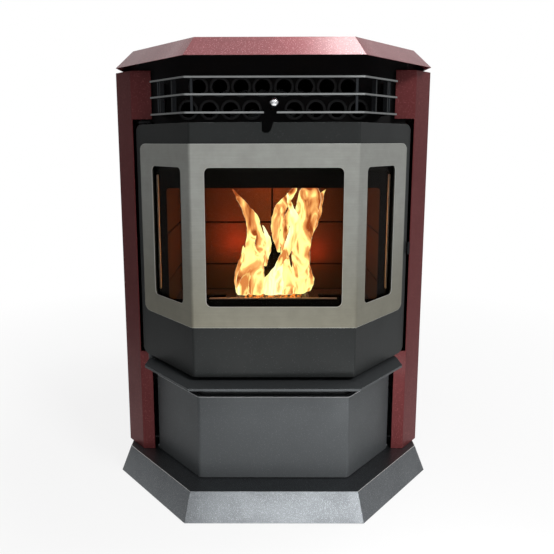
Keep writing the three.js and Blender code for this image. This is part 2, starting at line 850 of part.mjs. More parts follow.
function upperPivot() {
  const z0 = doorTop + pivotGap;
  const arm = box(
    pivotX - pivotPad, pivotX + pivotPad + pivotGap, pivotY - pivotPad + 1, faceY - gap, z0, z0 + plate
  );
  const pin = rodAlongZ(pivotX, pivotY, pivotRadius, doorWallTop - plate - pivotReach, z0 + 1, 16);
  return arm.add(pin);
}

function lowerPivot() {
  const washer = rodAlongZ(pivotX, pivotY, 2 * pivotRadius, lipTop - 1, doorBottom - gap, 16);
  return washer.add(rodAlongZ(pivotX, pivotY, pivotRadius, lipTop - 1, doorBottom + plate + pivotReach, 16));
}

function latchX() {
  return doorOpeningHalfWidth + gasketGrip + gasketWidth + latchHubRadius + latchGasketGap;
}

// A loose tool turns the latch. Its finger reaches past the door's edge, behind the strike's lip.
function latchCam() {
  const y0 = doorRear + gap;
  const y1 = y0 + plate;
  const hub = rodAlongY(latchX(), latchHeight, latchHubRadius, y0, y1, 20);
  const shaft = rodAlongY(latchX(), latchHeight, latchShaftRadius, doorRear - plate, y1, 12);
  const finger = box(
    latchX(), doorHalfWidth + latchProud, y0, y1,
    latchHeight - latchShaftRadius - 1, latchHeight + latchShaftRadius + 1
  );
  return joinAll([hub, shaft, finger]);
}

function strikePlate() {
  const x0 = doorHalfWidth + latchProud + 2 * gap;
  const x1 = x0 + strikeSheet;
  const z0 = latchHeight - strikeHalfHeight;
  const z1 = latchHeight + strikeHalfHeight;
  const rear = faceY - gap;
  const lipRear = doorRear - gap / 2;
  const leg = box(x0, x1, lipRear - plate, rear, z0, z1);
  const lip = box(x0 - latchBite, x1, lipRear - plate, lipRear, z0, z1);
  const foot = box(x0 - strikeFoot, x1, rear - plate + 1, rear, z0, z1);
  return joinAll([leg, lip, foot]);
}

// ---- firebox, bricks, burn pot and heat exchanger ----
function tubePlaces() {
  const places = [];
  for (let i = 0; i < tubesPerRow; i += 1) {
    const step = i - (tubesPerRow - 1) / 2;
    places.push({ x: step * tubePitch, z: upperTubeHeight });
    places.push({ x: (step + Math.sign(step) * 0.5) * tubePitch, z: lowerTubeHeight });
  }
  return places;
}

function fireboxShell() {
  const faceHalf = mouthHalfWidth + facePlateMargin;
  const front = box(
    -faceHalf, faceHalf, faceY, faceY + plate, notchBottom - panUpstand / 3, coverTop - sheet - gap
  );
  const chest = box(-fireboxHalfWidth, fireboxHalfWidth, faceY, fireboxRear, fireboxFloor, fireboxRoof);
  const hollow = box(
    -fireboxHalfWidth + plate, fireboxHalfWidth - plate, faceY + plate, fireboxRear - plate,
    fireboxFloor + plate, fireboxRoof - plate
  );
  const mouth = toSolid(panelPrism(
    roundedRectangle(-mouthHalfWidth, mouthHalfWidth, mouthBottom, mouthTop, 6), faceY - 1, faceY + plate + 1
  ));
  const dropHalf = panHalfWidth - ashDropMargin;
  const ashDrop = box(
    -dropHalf, dropHalf, faceY + ashDropSetback, fireboxRear - ashDropSetback,
    fireboxFloor - 1, fireboxFloor + plate + 1
  );
  const tubes = tubePlaces().map((place) => rodAlongY(
    place.x, place.z, tubeRadius + gap, faceY - 1, fireboxRear + 1, tubeSteps
  ));
  const y0 = fireboxRear - plate - 1;
  const y1 = fireboxRear + 1;
  const rodHole = rodAlongY(0, scraperHeight, scraperRodRadius + 1, faceY - 1, faceY + plate + 1, 12);
  const chuteHole = chuteBlock(chuteWall + gap, y0, y1);
  const igniterHole = rodAlongY(igniterX, igniterHeight(), igniterRadius + gap, y0, y1, 12);
  const intakeHole = rodAlongY(intakeX(), intakeHeight(), intakeRadius + gap, y0, y1, 16);
  const exhaustPort = box(
    exhaustX - exhaustPortHalf, exhaustX + exhaustPortHalf, y0, y1,
    fireboxFloor + exhaustPortHalf, fireboxFloor + exhaustPortHalf + exhaustPortHeight
  );
  return joinAll([front, chest, fireboxStand(-1), fireboxStand(1)])
    .subtract(hollow)
    .subtract(mouth)
    .subtract(ashDrop)
    .subtract(joinAll(tubes))
    .subtract(joinAll([rodHole, chuteHole, igniterHole, intakeHole, exhaustPort]));
}

function igniterHeight() {
  return hearthHeight - igniterDrop;
}

function intakeX() {
  return intakeInset - fireboxHalfWidth;
}

function intakeHeight() {
  return hearthHeight - intakeRadius - intakeDrop;
}

// A 45-degree feed channel, cut off between two Y planes; grow widens it on every side.
function chuteBlock(grow, y0, y1) {
  const half = chuteHalfWidth + grow;
  const mouthY = fireboxRear - plate - brickThickness - chuteOverhang;
  const top = chuteMouthHeight + chuteHeight + grow;
  const bottom = chuteMouthHeight - grow;
  const rise = (y) => y - mouthY;
  const outline = new THREE.Shape([
    new THREE.Vector2(y0, bottom + rise(y0)),
    new THREE.Vector2(y1, bottom + rise(y1)),
    new THREE.Vector2(y1, top + rise(y1)),
    new THREE.Vector2(y0, top + rise(y0))
  ]);
  const geometry = new THREE.ExtrudeGeometry(outline, { depth: 2 * half, bevelEnabled: false });
  geometry.rotateX(Math.PI / 2);
  geometry.rotateZ(Math.PI / 2);
  geometry.translate(-half, 0, 0);
  return toSolid(geometry);
}

function feedChute() {
  const y0 = fireboxRear - plate - brickThickness - chuteOverhang;
  const y1 = fireboxRear + chuteRear;
  return chuteBlock(chuteWall, y0, y1).subtract(chuteBlock(0, y0 - 5, y1 + 5)).subtract(augerClearance());
}

function fireboxHearth() {
  const y0 = faceY + plate + gap;
  const y1 = fireboxRear - plate - gap;
  const half = fireboxHalfWidth - plate - gap;
  const floor = box(-half, half, y0, y1, hearthHeight - plate, hearthHeight);
  const legs = [-half, half - plate].map((x) => box(
    x, x + plate, y0, y1, fireboxFloor + plate + gap, hearthHeight - 1
  ));
  const pot = potPlace();
  const z0 = hearthHeight - 2 * plate;
  const z1 = hearthHeight + 2 * plate;
  const potHole = box(
    -potHalfWidth - potGap, potHalfWidth + potGap, pot.y0 - potGap, pot.y1 + potGap, z0, z1
  );
  const slots = [-1, 1].map((side) => sideBox(
    side * (potHalfWidth + ashSlotGap), side * (half - ashSlotInset), pot.y0, pot.y1, z0, z1
  ));
  return joinAll([floor, ...legs]).subtract(joinAll([potHole, ...slots]));
}

function potPlace() {
  const y0 = faceY + potSetback;
  return { y0, y1: y0 + potLength };
}

function brickBack() {
  const y1 = fireboxRear - plate - gap;
  const half = fireboxHalfWidth - plate - gap;
  return box(-half, half, y1 - brickThickness, y1, hearthHeight + gap, brickTop)
    .subtract(chuteBlock(chuteWall + gap, y1 - brickThickness - 2, y1 + 2));
}

function brickSide(side) {
  const outer = side * (fireboxHalfWidth - plate - gap);
  const inner = outer - side * sideBrickThickness;
  const y1 = fireboxRear - plate - brickThickness - 2 * gap;
  return sideBox(outer, inner, faceY + plate + gap, y1, hearthHeight + gap, brickTop);
}

function bafflePlate() {
  const half = fireboxHalfWidth - 2 * plate;
  return box(
    -half, half, faceY + plate + baffleFrontGap, fireboxRear - 2 * plate,
    brickTop + gap, brickTop + gap + plate
  );
}

function burnPot() {
  const pot = potPlace();
  const rimTop = hearthHeight + potRimHeight;
  const lowZ = hearthHeight - potDepth;
  const middle = (pot.y0 + pot.y1) / 2;
  const top = rectangle(-potHalfWidth, potHalfWidth, pot.y0, pot.y1);
  const bottom = rectangle(
    -potHalfWidth + potTaper, potHalfWidth - potTaper, pot.y0 + potTaper, pot.y1 - potTaper
  );
  const shrink = (points) => points.map((point) => new THREE.Vector2(
    point.x - Math.sign(point.x) * potWall,
    point.y + Math.sign(middle - point.y) * potWall
  ));
  const cup = loft(bottom, top, lowZ, rimTop);
  const flange = box(
    -potHalfWidth - potFlange, potHalfWidth + potFlange, pot.y0 - potFlange, pot.y1 + potFlange,
    hearthHeight + gap, hearthHeight + gap + potWall
  );
  const bowl = loft(shrink(bottom), shrink(top), lowZ + potWall, rimTop + 0.01);
  const holes = [];
  for (let i = -2; i <= 2; i += 1) {
    for (let j = -1; j <= 1; j += 1) {
      holes.push(rodAlongZ(
        i * airHolePitch, middle + j * airHolePitch, airHoleRadius, lowZ - 1, lowZ + potWall + 1, 8
      ));
    }
  }
  return cup.add(flange).subtract(bowl).subtract(joinAll(holes));
}

function igniterRod() {
  const pot = potPlace();
  const z = igniterHeight();
  const rod = rodAlongY(igniterX, z, igniterRadius, pot.y1 + potGap, fireboxRear + igniterTail, 12);
  return rod.add(rodAlongY(igniterX, z, igniterHex, fireboxRear + gap, fireboxRear + igniterTail / 2, 6));
}

function heatExchanger() {
  const half = fireboxHalfWidth - headerMargin;
  const y0 = faceY - tubeWall;
  const y1 = fireboxRear + gap + tubeWall;
  const header = box(
    -half, half, fireboxRear + gap, y1,
    lowerTubeHeight - tubeRadius - headerRim, upperTubeHeight + tubeRadius + headerRim / 2
  );
  const rods = (radius, start, end) => joinAll(tubePlaces().map((place) => rodAlongY(
    place.x, place.z, radius, start, end, tubeSteps
  )));
  return header.add(rods(tubeRadius, y0, y1)).subtract(rods(tubeRadius - tubeWall, y0 - 1, y1 + 1));
}

function scraperRod() {
  const half = fireboxHalfWidth - headerMargin - plate;
  const rakeY = fireboxRear - plate - rakeSetback;
  const rake = box(
    -half, half, rakeY, rakeY + rakeThickness,
    lowerTubeHeight - tubeRadius - headerRim, fireboxRoof - plate - rakeThickness
  );
  const holes = tubePlaces().map((place) => rodAlongY(
    place.x, place.z, tubeRadius + 1, rakeY - 1, rakeY + rakeThickness + 1, tubeSteps
  ));
  const knobRear = scraperKnobSetback + scraperKnobRadius;
  const rodFront = knobRear + gap;
  const rod = rodAlongY(0, scraperHeight, scraperRodRadius, rodFront, rakeY + 1, 12);
  return rake.subtract(joinAll(holes)).add(rod);
}

function scraperKnob() {
  const geometry = new THREE.SphereGeometry(scraperKnobRadius, 12, 8);
  geometry.translate(0, scraperKnobSetback, scraperHeight);
  const y0 = scraperKnobSetback;
  const collar = rodAlongY(0, scraperHeight, scraperRodRadius + 1.5, y0, y0 + scraperKnobRadius, 12);
  return toSolid(geometry).add(collar);
}

function airGrille() {
  const bay = { front: grilleSetback, halfFront: grilleHalfFront, halfSide: grilleHalfWidth };
  const bars = barHeights.map((z) => bayStrip(bay, barDepth, z - barThickness / 2, z + barThickness / 2));
  const low = barHeights[0] - barThickness / 2;
  const high = barHeights[barHeights.length - 1] + barThickness / 2;
  const facetLength = grilleFacet / Math.cos(bayAngle);
  const front = barThickness;
  const rear = barDepth + barThickness;
  const facetStays = [-1, 1].flatMap((side) => [0.36, 0.72].map((share) => {
    const start = share * facetLength;
    return facetBlock(bay, side, start, start + stayWidth, low, high, 0.5, -front, rear);
  }));
  const frontStays = [-1, 1].map((side) => {
    const end = side * (grilleHalfFront - 0.1 * facetLength);
    return sideBox(end, end - side * stayWidth, grilleSetback + front, grilleSetback + rear, low, high);
  });
  const arms = [-1, 1].map((side) => {
    const x = side * (grilleHalfWidth - grilleArmInset);
    return sideBox(x, x - side * sheet, facetY(bay, x) + front, faceY - gap, low, high);
  });
  const knobGap = box(
    barGapStart, barGapEnd, 0, grilleSetback + barDepth + 2, low - 1, low + barThickness + 1
  );
  return joinAll([...bars, ...facetStays, ...frontStays, ...arms]).subtract(knobGap);
}

// ---- ash lip, ash drawer and its supports ----
function ashLip() {
  const cornerX = lipHalfWidth - lipTipRadius - plate;
  const cornerY = lipSetback + (cornerX - lipHalfFront) * baySlope;
  const half = [new THREE.Vector2(lipHalfFront, lipSetback), new THREE.Vector2(cornerX, cornerY)];
  for (let i = 0; i <= 4; i += 1) {
    const angle = THREE.MathUtils.degToRad(i * 15 - 30);
    half.push(new THREE.Vector2(
      lipHalfWidth + lipTipRadius * (Math.cos(angle) - 1),
      cornerY + plate + 2 * lipTipRadius * (1 + Math.sin(angle))
    ));
  }
  const innerX = bendX - lowerFlange - lipGap;
  half.push(new THREE.Vector2(lipHalfWidth - lipGap, flangeY - lipRearGap));
  half.push(new THREE.Vector2(innerX, flangeY - lipGap));
  half.push(new THREE.Vector2(innerX, faceY - gap));
  return joinAll([prism([...half, ...mirrored(half)], lipBottom, lipTop), lowerValance(), lowerPivot()]);
}

// A fixed strip behind the finger gap that hides the drawer's opening.
function lowerValance() {
  const bay = insetBay(drawerBay, valanceSetback);
  return bayStrip(bay, sheet, drawerTop - valanceDrop, lipBottom + 1);
}

const drawerBay = { front: drawerSetback, halfFront: drawerHalfFront, halfSide: drawerHalfWidth };

function ashDrawerFront() {
  const bottom = plinthHeight + 1;
  const skin = bayStrip(drawerBay, drawerSheet, bottom, drawerTop);
  const hem = bayStrip(drawerBay, drawerHem, drawerTop - drawerSheet, drawerTop);
  const foot = bayStrip(drawerBay, drawerHem, bottom, bottom + drawerSheet);
  return joinAll([skin, hem, foot]);
}

function ashPan() {
  const y0 = facetY(drawerBay, panHalfWidth) + panSetback;
  const y1 = fireboxRear - panRearGap;
  const z0 = baseTop + panLift;
  const z1 = z0 + panHeight;
  const outer = box(-panHalfWidth, panHalfWidth, y0, y1, z0, z1);
  const inner = box(-panHalfWidth + sheet, panHalfWidth - sheet, y0 + sheet, y1 - sheet, z0 + sheet, z1 + 1);
  const arms = [-1, 1].map((side) => {
    const x = side * panArmX;
    const front = drawerSetback + drawerSheet + gap;
    return box(x - panArmHalf, x + panArmHalf, front, y0 + 1, z0 + 4 * panArmHalf, z0 + 8 * panArmHalf);
  });
  return joinAll([outer.subtract(inner), ...arms]);
}

function drawerRail(side) {
  const y0 = flangeY + 2 * plate;
  const near = side * (panHalfWidth + 1);
  const wall = sideBox(
    near, near + side * railThickness, y0, fireboxRear, baseTop - 1, baseTop + railHeight
  );
  const shelf = sideBox(
    near - side * (railWidth + railThickness + 1), near + side * (railWidth - 1),
    y0, fireboxRear, baseTop - 1, baseTop + panLift - 1
  );
  return shelf.add(wall);
}

function fireboxStand(side) {
  const near = side * (fireboxHalfWidth - standWidth - railThickness);
  const y0 = faceY + plate + 10;
  const foot = sideBox(
    near, near + side * standWidth, y0, fireboxRear, baseTop + gap, baseTop + gap + plate
  );
  const wall = sideBox(near, near + side * plate, y0, fireboxRear, baseTop + gap, fireboxFloor + 1);
  return foot.add(wall);
}

// ---- pellet feed ----
function hopperShell() {
  const y0 = hopperFront;
  const y1 = hopperRear;
  const rim = coverTop - sheet - gap;
  const throat = augerInlet();
  const wide = rectangle(-hopperHalfWidth, hopperHalfWidth, y0, y1);
  const narrow = rectangle(-throatHalf, throatHalf, throat.y - throatHalf + plate, throat.y + throatHalf);
  const shrinkTo = (points, d, cy) => points.map((point) => new THREE.Vector2(
    point.x - Math.sign(point.x) * d, point.y - Math.sign(point.y - cy) * d
  ));
  const middle = (y0 + y1) / 2;
  const outer = loft(wide, wide, hopperStraight, rim).add(loft(narrow, wide, hopperThroat, hopperStraight));
  const wideIn = shrinkTo(wide, hopperWall, middle);
  const narrowIn = shrinkTo(narrow, hopperWall, throat.y);
  const inner = loft(wideIn, wideIn, hopperStraight - 0.01, rim + 1)
    .add(loft(narrowIn, wideIn, hopperThroat - 0.01, hopperStraight));
  return outer.subtract(inner).subtract(augerClearance());
}

// Lower end of the auger; it climbs towards the firebox at the auger's tilt.
function augerFoot() {
  return new THREE.Vector3(
    0,
    fireboxRear + augerTopSetback + augerLength * Math.sin(augerTilt),
    augerTopHeight - augerLength * Math.cos(augerTilt)
  );
}

function augerInlet() {
  const foot = augerFoot();
  const along = augerLength * 0.36;
  return { y: foot.y - along * Math.sin(augerTilt) + augerRadius * Math.cos(augerTilt), z: foot.z + along };
}

function tilted(solid) {
  const degrees = THREE.MathUtils.radToDeg(augerTilt);
  const foot = augerFoot();
  return solid.rotate([degrees, 0, 0]).translate([foot.x, foot.y, foot.z]);
}

function augerClearance() {
  return tilted(rodAlongZ(0, 0, augerRadius + gap, -2, augerLength + 2, 16));
}

function augerTube() {
  const outer = rodAlongZ(0, 0, augerRadius, 0, augerLength, 16);
  const bore = rodAlongZ(0, 0, augerRadius - augerWall, plate, augerLength - augerWall, 16);
  const shaftHole = rodAlongZ(0, 0, augerShaftRadius + gap, -1, plate + 1, 12);
  const half = augerPitch / 2;
  const inlet = box(-half, half, 0, 2 * augerRadius, augerLength * 0.2, augerLength * 0.55);
  const outlet = box(-half, half, -2 * augerRadius, 0, augerLength - augerPitch - 5, augerLength - 2 * plate);
  return tilted(outer.subtract(bore).subtract(shaftHole).subtract(inlet).subtract(outlet));
}

// The screw is a keyhole section, shaft and fin in one, extruded and twisted along its length.
function augerScrew() {
  const flightRadius = augerRadius - augerWall - 2;
  const corners = [[flightRadius, -8], [flightRadius, 8]];
  for (let degrees = 30; degrees <= 330; degrees += 50) {
    corners.push([augerShaftRadius, degrees]);
  }
  const section = new THREE.Shape(corners.map(([radius, degrees]) => {
    const angle = THREE.MathUtils.degToRad(degrees);
    return new THREE.Vector2(radius * Math.cos(angle), radius * Math.sin(angle));
  }));
  const length = augerLength - augerPitch / 2;
  const turns = length / augerPitch;
  const steps = Math.round(turns * 12);
  const flight = new THREE.ExtrudeGeometry(section, { depth: length, steps, bevelEnabled: false });
  const position = flight.attributes.position;
  for (let i = 0; i < position.count; i += 1) {
    const point = new THREE.Vector2(position.getX(i), position.getY(i));
    point.rotateAround(new THREE.Vector2(), (position.getZ(i) / augerPitch) * Math.PI * 2);
    position.setXY(i, point.x, point.y);
  }
  flight.translate(0, 0, 10);
  return tilted(toSolid(flight).add(rodAlongZ(0, 0, augerShaftRadius - 1.5, -2 * plate, 3 * plate, 8)));
}

function augerMotor() {
  const half = gearboxHalf;
  const gearbox = box(-half, half, -half, half, -gearboxLength, -gap);
  const can = rodAlongZ(0, 0, augerCanRadius, -gearboxLength - augerCanLength + 1, 1 - gearboxLength, 20);
  const socket = rodAlongZ(0, 0, augerShaftRadius + gap, -10, 1, 12);
  return tilted(gearbox.add(can).subtract(socket));
}

// ---- fans, flue and air intake ----
function flueHeight() {
  return exhaustHeight + flueRise;
}

function exhaustFanY() {
  return fireboxRear + exhaustSetback;
}

function roomFanY() {
  return fireboxRear + roomFanSetback;
}

// The flue's inner end clears the fan's drum.
function flueStart() {
  return exhaustFanY() + exhaustRadius + sheet;
}

function exhaustHousing() {
  const x0 = exhaustX - exhaustWidth / 2;
  const x1 = exhaustX + exhaustWidth / 2;
  const y = exhaustFanY();
  const wall = exhaustWall;
  const riserRear = fireboxRear + riserDepth;
  const riserTop = fireboxFloor + exhaustPortHalf + exhaustPortHeight + 2 * wall;
  const riserFoot = exhaustHeight - 10;
  const drum = rodAlongX(y, exhaustHeight, exhaustRadius, x0, x1, 20);
  const riser = box(x0, x1, fireboxRear + gap, riserRear, riserFoot, riserTop);
  const spout = rodAlongY(exhaustX, flueHeight(), spoutRadius, y, flueStart(), 16);
  const drumIn = rodAlongX(y, exhaustHeight, exhaustRadius - wall, x0 + wall, x1 - wall, 20);
  const riserIn = box(
    x0 + wall, x1 - wall, fireboxRear - 1, riserRear - wall, riserFoot + 2 * wall, riserTop - wall
  );
  const passage = box(
    x0 + wall, x1 - wall, riserRear - 2 * exhaustPortHalf, y, exhaustHeight - 5, exhaustHeight + 20
  );
  const spoutIn = rodAlongY(exhaustX, flueHeight(), spoutRadius - wall, y, flueStart() + 1, 16);
  const shaftHole = rodAlongX(y, exhaustHeight, motorShaftRadius + 2, x0 - 1, x0 + wall + 1, 12);
  return joinAll([drum, riser, spout]).subtract(joinAll([drumIn, riserIn, passage, spoutIn, shaftHole]));
}

function bladedWheel(y, z, x0, x1, radius, bladeDepth, blades, hubRadius) {
  const disc = rodAlongX(y, z, radius, x0, x0 + sheet, 20);
  const hub = rodAlongX(y, z, hubRadius, x0, x1, 16);
  const parts = [disc, hub];
  for (let i = 0; i < blades; i += 1) {
    const blade = box(x0 + 1, x1, -sheet / 2, sheet / 2, radius - bladeDepth, radius - 0.5);
    parts.push(blade.rotate([(360 * i) / blades, 0, 0]).translate([0, y, z]));
  }
  return joinAll(parts);
}

function exhaustImpeller() {
  const x0 = exhaustX - exhaustWidth / 2 + wheelGap;
  const y = exhaustFanY();
  const radius = exhaustRadius - exhaustWall - 9;
  const wheel = bladedWheel(y, exhaustHeight, x0, x0 + impellerWidth, radius, impellerBlade, 8, 12);
  return wheel.add(rodAlongX(y, exhaustHeight, motorShaftRadius, x0 - 3 * wheelGap, x0 + 1, 12));
}

function exhaustMotor() {
  const x1 = exhaustX - exhaustWidth / 2 - gap;
  const y = exhaustFanY();
  const can = rodAlongX(y, exhaustHeight, exhaustMotorRadius, x1 - exhaustMotorLength, x1, 16);
  return can.subtract(rodAlongX(y, exhaustHeight, motorShaftRadius + 1, x1 - 20, x1 + 1, 12));
}

function flueOutlet() {
  const y0 = flueStart() + gap;
  const y1 = cabinetRear + flueStub;
  const collarRear = cabinetRear + gap + tubeWall;
  const collar = rodAlongY(
    exhaustX, flueHeight(), flueRadius + flueCollar, cabinetRear + gap, collarRear, 20
  );
  return rodAlongY(exhaustX, flueHeight(), flueRadius, y0, y1, 20)
    .add(collar)
    .subtract(rodAlongY(exhaustX, flueHeight(), flueRadius - sheet, y0 - 1, y1 + 1, 20));
}

function airIntake() {
  const y0 = fireboxRear - plate;
  const y1 = cabinetRear + intakeStub;
  return rodAlongY(intakeX(), intakeHeight(), intakeRadius, y0, y1, 16)
    .subtract(rodAlongY(intakeX(), intakeHeight(), intakeRadius - sheet, y0 - 1, y1 + 1, 16));
}

function plenumBottom() {
  return igniterHeight() + plenumLift;
}

function airPlenum() {
  const half = fireboxHalfWidth - headerMargin + plate;
  const y0 = fireboxRear + plate;
  const y1 = y0 + plenumDepth;
  const bottom = plenumBottom();
  const top = upperTubeHeight + tubeRadius + 2 * plate - 0.5;
  const shell = box(-half, half, y0, y1, bottom, top);
  const inside = box(-half + sheet, half - sheet, y0 + sheet, y1 - sheet, bottom + sheet, top - sheet);
  const tubeWindow = box(
    -half + 2 * plate, half - 2 * plate, y0 - 1, y0 + sheet + 1,
    lowerTubeHeight - tubeRadius - 5.5, upperTubeHeight + tubeRadius + 1.5
  );
  const inletHalf = roomFanWidth / 2 - spoutMargin;
  const inlet = box(
    roomFanX - inletHalf, roomFanX + inletHalf, y0 + sheet, y1 - sheet, bottom - 1, bottom + sheet + 1
  );
  const sleeve = chuteBlock(chuteWall + 2 * gap, y0 - 1, y1 + 1);
  const sleeveWall = chuteBlock(chuteWall + 2 * gap + sheet, y0, y1);
  return shell.subtract(inside).add(sleeveWall).subtract(joinAll([tubeWindow, inlet, sleeve]));
}

function roomFanHousing() {
  const x0 = roomFanX - roomFanWidth / 2;
  const x1 = roomFanX + roomFanWidth / 2;
  const y = roomFanY();
  const wall = sheet;
  const top = plenumBottom() - gap;
  const spoutFront = fireboxRear + sheet;
  const spoutRear = spoutFront + spoutDepth;
  const low = roomFanHeight + 10;
  const drum = rodAlongX(y, roomFanHeight, roomFanRadius, x0, x1, 20);
  const spout = box(x0, x1, spoutFront, spoutRear, roomFanHeight, top);
  const drumIn = rodAlongX(y, roomFanHeight, roomFanRadius - wall, x0 + wall, x1 - wall, 20);
  const spoutIn = box(x0 + wall, x1 - wall, spoutFront + wall, spoutRear - wall, low, top - wall);
  const outlet = box(
    x0 + spoutMargin, x1 - spoutMargin, fireboxRear + plate + sheet,
    fireboxRear + plate + plenumDepth - sheet, top - wall - 1, top + 1
  );
  const passage = box(x0 + wall, x1 - wall, fireboxRear + 10, y, low, low + 30);
  const airMouth = rodAlongX(y, roomFanHeight, airMouthRadius, x0 - 1, x0 + wall + 1, 16);
  const shaftHole = rodAlongX(y, roomFanHeight, motorShaftRadius + 2, x1 - wall - 1, x1 + 1, 12);
  return drum.add(spout).subtract(joinAll([drumIn, spoutIn, outlet, passage, airMouth, shaftHole]));
}

function roomFanWheel() {
  const x1 = roomFanX + roomFanWidth / 2 - wheelGap;
  const wheel = bladedWheel(0, 0, 0, roomFanWidth - 2 * wheelGap - sheet, roomFanRadius - 14, 12, 18, 10);
  const placed = wheel.rotate([0, 0, 180]).translate([x1, roomFanY(), roomFanHeight]);
  return placed.add(rodAlongX(roomFanY(), roomFanHeight, motorShaftRadius, x1 - 1, x1 + 3 * wheelGap, 12));
}

function roomFanMotor() {
  const x0 = roomFanX + roomFanWidth / 2 + gap;
  const can = rodAlongX(roomFanY(), roomFanHeight, roomMotorRadius, x0, x0 + roomMotorLength, 16);
  return can.subtract(rodAlongX(roomFanY(), roomFanHeight, motorShaftRadius + 1, x0 - 1, x0 + 20, 12));
}

// ---- controls on the right side and the mains socket at the rear ----
function controlCentre() {
  return { y: cabinetRear - panelSetback, z: panelTop - panelDrop };
}

const buttonPlaces = [
  { name: 'button_power', y: -buttonColumn, z: -buttonRow },
  { name: 'button_up', y: buttonColumn, z: buttonRow - 6 },
  { name: 'button_down', y: buttonColumn, z: -2 },
  { name: 'button_mode', y: -buttonPitch / 2, z: -buttonRow },
  { name: 'button_timer', y: buttonPitch / 2, z: -buttonRow }
];

// The display sits above the buttons, a little towards the front.
function windowBlock(x0, x1, shrink) {
  const centre = controlCentre();
  const y0 = centre.y - windowLength * 2 / 3 + shrink;
  const z0 = centre.z - 8 + shrink;
  return box(x0, x1, y0, y0 + windowLength - 2 * shrink, z0, z0 + windowHeight - 2 * shrink);
}

function controlPanel() {
  const centre = controlCentre();
  const x0 = cabinetHalfWidth + gap;
  const x1 = x0 + bezelThickness;
  const bezel = box(
    x0, x1, centre.y - bezelWidth / 2, centre.y + bezelWidth / 2,
    centre.z - bezelHeight / 2, centre.z + bezelHeight / 2
  );
  const postInset = bezelMargin + 3.5;
  const posts = [-1, 1].flatMap((a) => [-1, 1].map((b) => rodAlongX(
    centre.y + a * (bezelWidth / 2 - postInset), centre.z + b * (bezelHeight / 2 - postInset),
    3, x0 - boardGap, x0 + 1, 8
  )));
  const half = buttonSize / 2 + gap;
  const buttonHoles = buttonPlaces.map((place) => box(
    x0 - 1, x1 + 1, centre.y + place.y - half, centre.y + place.y + half,
    centre.z + place.z - half, centre.z + place.z + half
  ));
  const recess = windowBlock(x1 - bezelThickness / 2, x1 + 1, 0);
  return joinAll([bezel, ...posts]).subtract(joinAll([...buttonHoles, recess]));
}

function displayWindow() {
  const x1 = cabinetHalfWidth + gap + bezelThickness;
  return windowBlock(x1 - bezelThickness / 2 + gap, x1 + gap, gap);
}

function controlBoard() {
  const centre = controlCentre();
  const x1 = cabinetHalfWidth - boardGap;
  const board = box(
    x1 - 1.6, x1, centre.y - boardHalfLength, centre.y + boardHalfLength,
    centre.z - boardHalfHeight, centre.z + boardHalfHeight
  );
  const relay = box(x1 - 16, x1 - 1, centre.y - 40, centre.y - 18, centre.z - 30, centre.z - 12);
  const transformer = box(x1 - 26, x1 - 1, centre.y + 8, centre.y + 40, centre.z - 20, centre.z + 12);
  return joinAll([board, relay, transformer]);
}

function panelButton(place) {
  const centre = controlCentre();
  const half = buttonSize / 2;
  const x0 = cabinetHalfWidth - 4;
  const x1 = cabinetHalfWidth + gap + bezelThickness + buttonProud;
  return box(
    x0, x1, centre.y + place.y - half, centre.y + place.y + half,
    centre.z + place.z - half, centre.z + place.z + half
  );
}

function powerSocket() {
  return { x: cabinetHalfWidth - socketInset, z: socketHeight };
}

function powerInlet() {
  const at = powerSocket();
  const block = (halfWidth, halfHeight, y0, y1) => box(
    at.x - halfWidth, at.x + halfWidth, y0, y1, at.z - halfHeight, at.z + halfHeight
  );
  const body = block(socketHalfWidth, socketHalfHeight, cabinetRear - 26, cabinetRear + 1);
  const flange = block(25, 14, cabinetRear + gap, cabinetRear + 3);
  const cavity = block(socketHalfWidth - 2.5, socketHalfHeight - 3, cabinetRear - 15, cabinetRear + 9);
  const blades = [-7, 0, 7].map((x) => block(1, 2, cabinetRear - 20, cabinetRear - 2).translate([x, 0, 0]));
  return joinAll([body.add(flange).subtract(cavity), ...blades]);
}

// ---- the assembly ----
const stove = new THREE.Group();

function place(group, name, solid, material) {
  group.add(toMesh(name, solid, material));
}

const cabinet = new THREE.Group();
place(cabinet, 'plinth_skirt', plinthSkirt(), paint.charcoal);
const frontFootX = plinthHalfWidth - frontFootInset;
const rearFootX = plinthHalfWidth - rearFootInset;
const rearFootY = cabinetRear - rearFootSetback;
place(cabinet, 'foot_front_left', levellingFoot(-frontFootX, frontFootSetback), paint.rubber);
place(cabinet, 'foot_front_right', levellingFoot(frontFootX, frontFootSetback), paint.rubber);
place(cabinet, 'foot_rear_left', levellingFoot(-rearFootX, rearFootY), paint.rubber);
place(cabinet, 'foot_rear_right', levellingFoot(rearFootX, rearFootY), paint.rubber);
place(cabinet, 'base_pan', basePan(), paint.galvanised);
place(cabinet, 'left_side_panel', sidePanel(-1), paint.burgundy);
place(cabinet, 'right_side_panel', sidePanel(1), paint.burgundy);
place(cabinet, 'rear_panel', rearPanel(), paint.galvanised);
place(cabinet, 'top_cover', topCover(), paint.burgundy);
place(cabinet, 'lid_gasket', lidGasket(), paint.rope);
place(cabinet, 'ash_lip', ashLip(), paint.charcoal);
place(cabinet, 'air_grille', airGrille(), paint.barSteel);
place(cabinet, 'door_pivot_upper', upperPivot(), paint.stoveBlack);
place(cabinet, 'latch_strike', strikePlate(), paint.galvanised);

const lid = new THREE.Group();
place(lid, 'hopper_lid', hopperLid(), paint.burgundy);
place(lid, 'lid_handle', lidHandle(), paint.stoveBlack);

const door = new THREE.Group();
place(door, 'door_frame', doorFrame(), paint.charcoal);
place(door, 'door_trim', doorTrim(), paint.stainless);
place(door, 'glass_front', frontGlass(), paint.glass);
place(door, 'glass_left', sideGlass(-1), paint.glass);
place(door, 'glass_right', sideGlass(1), paint.glass);
place(door, 'door_gasket', doorGasket(), paint.rope);
place(door, 'door_latch', latchCam(), paint.stoveBlack);

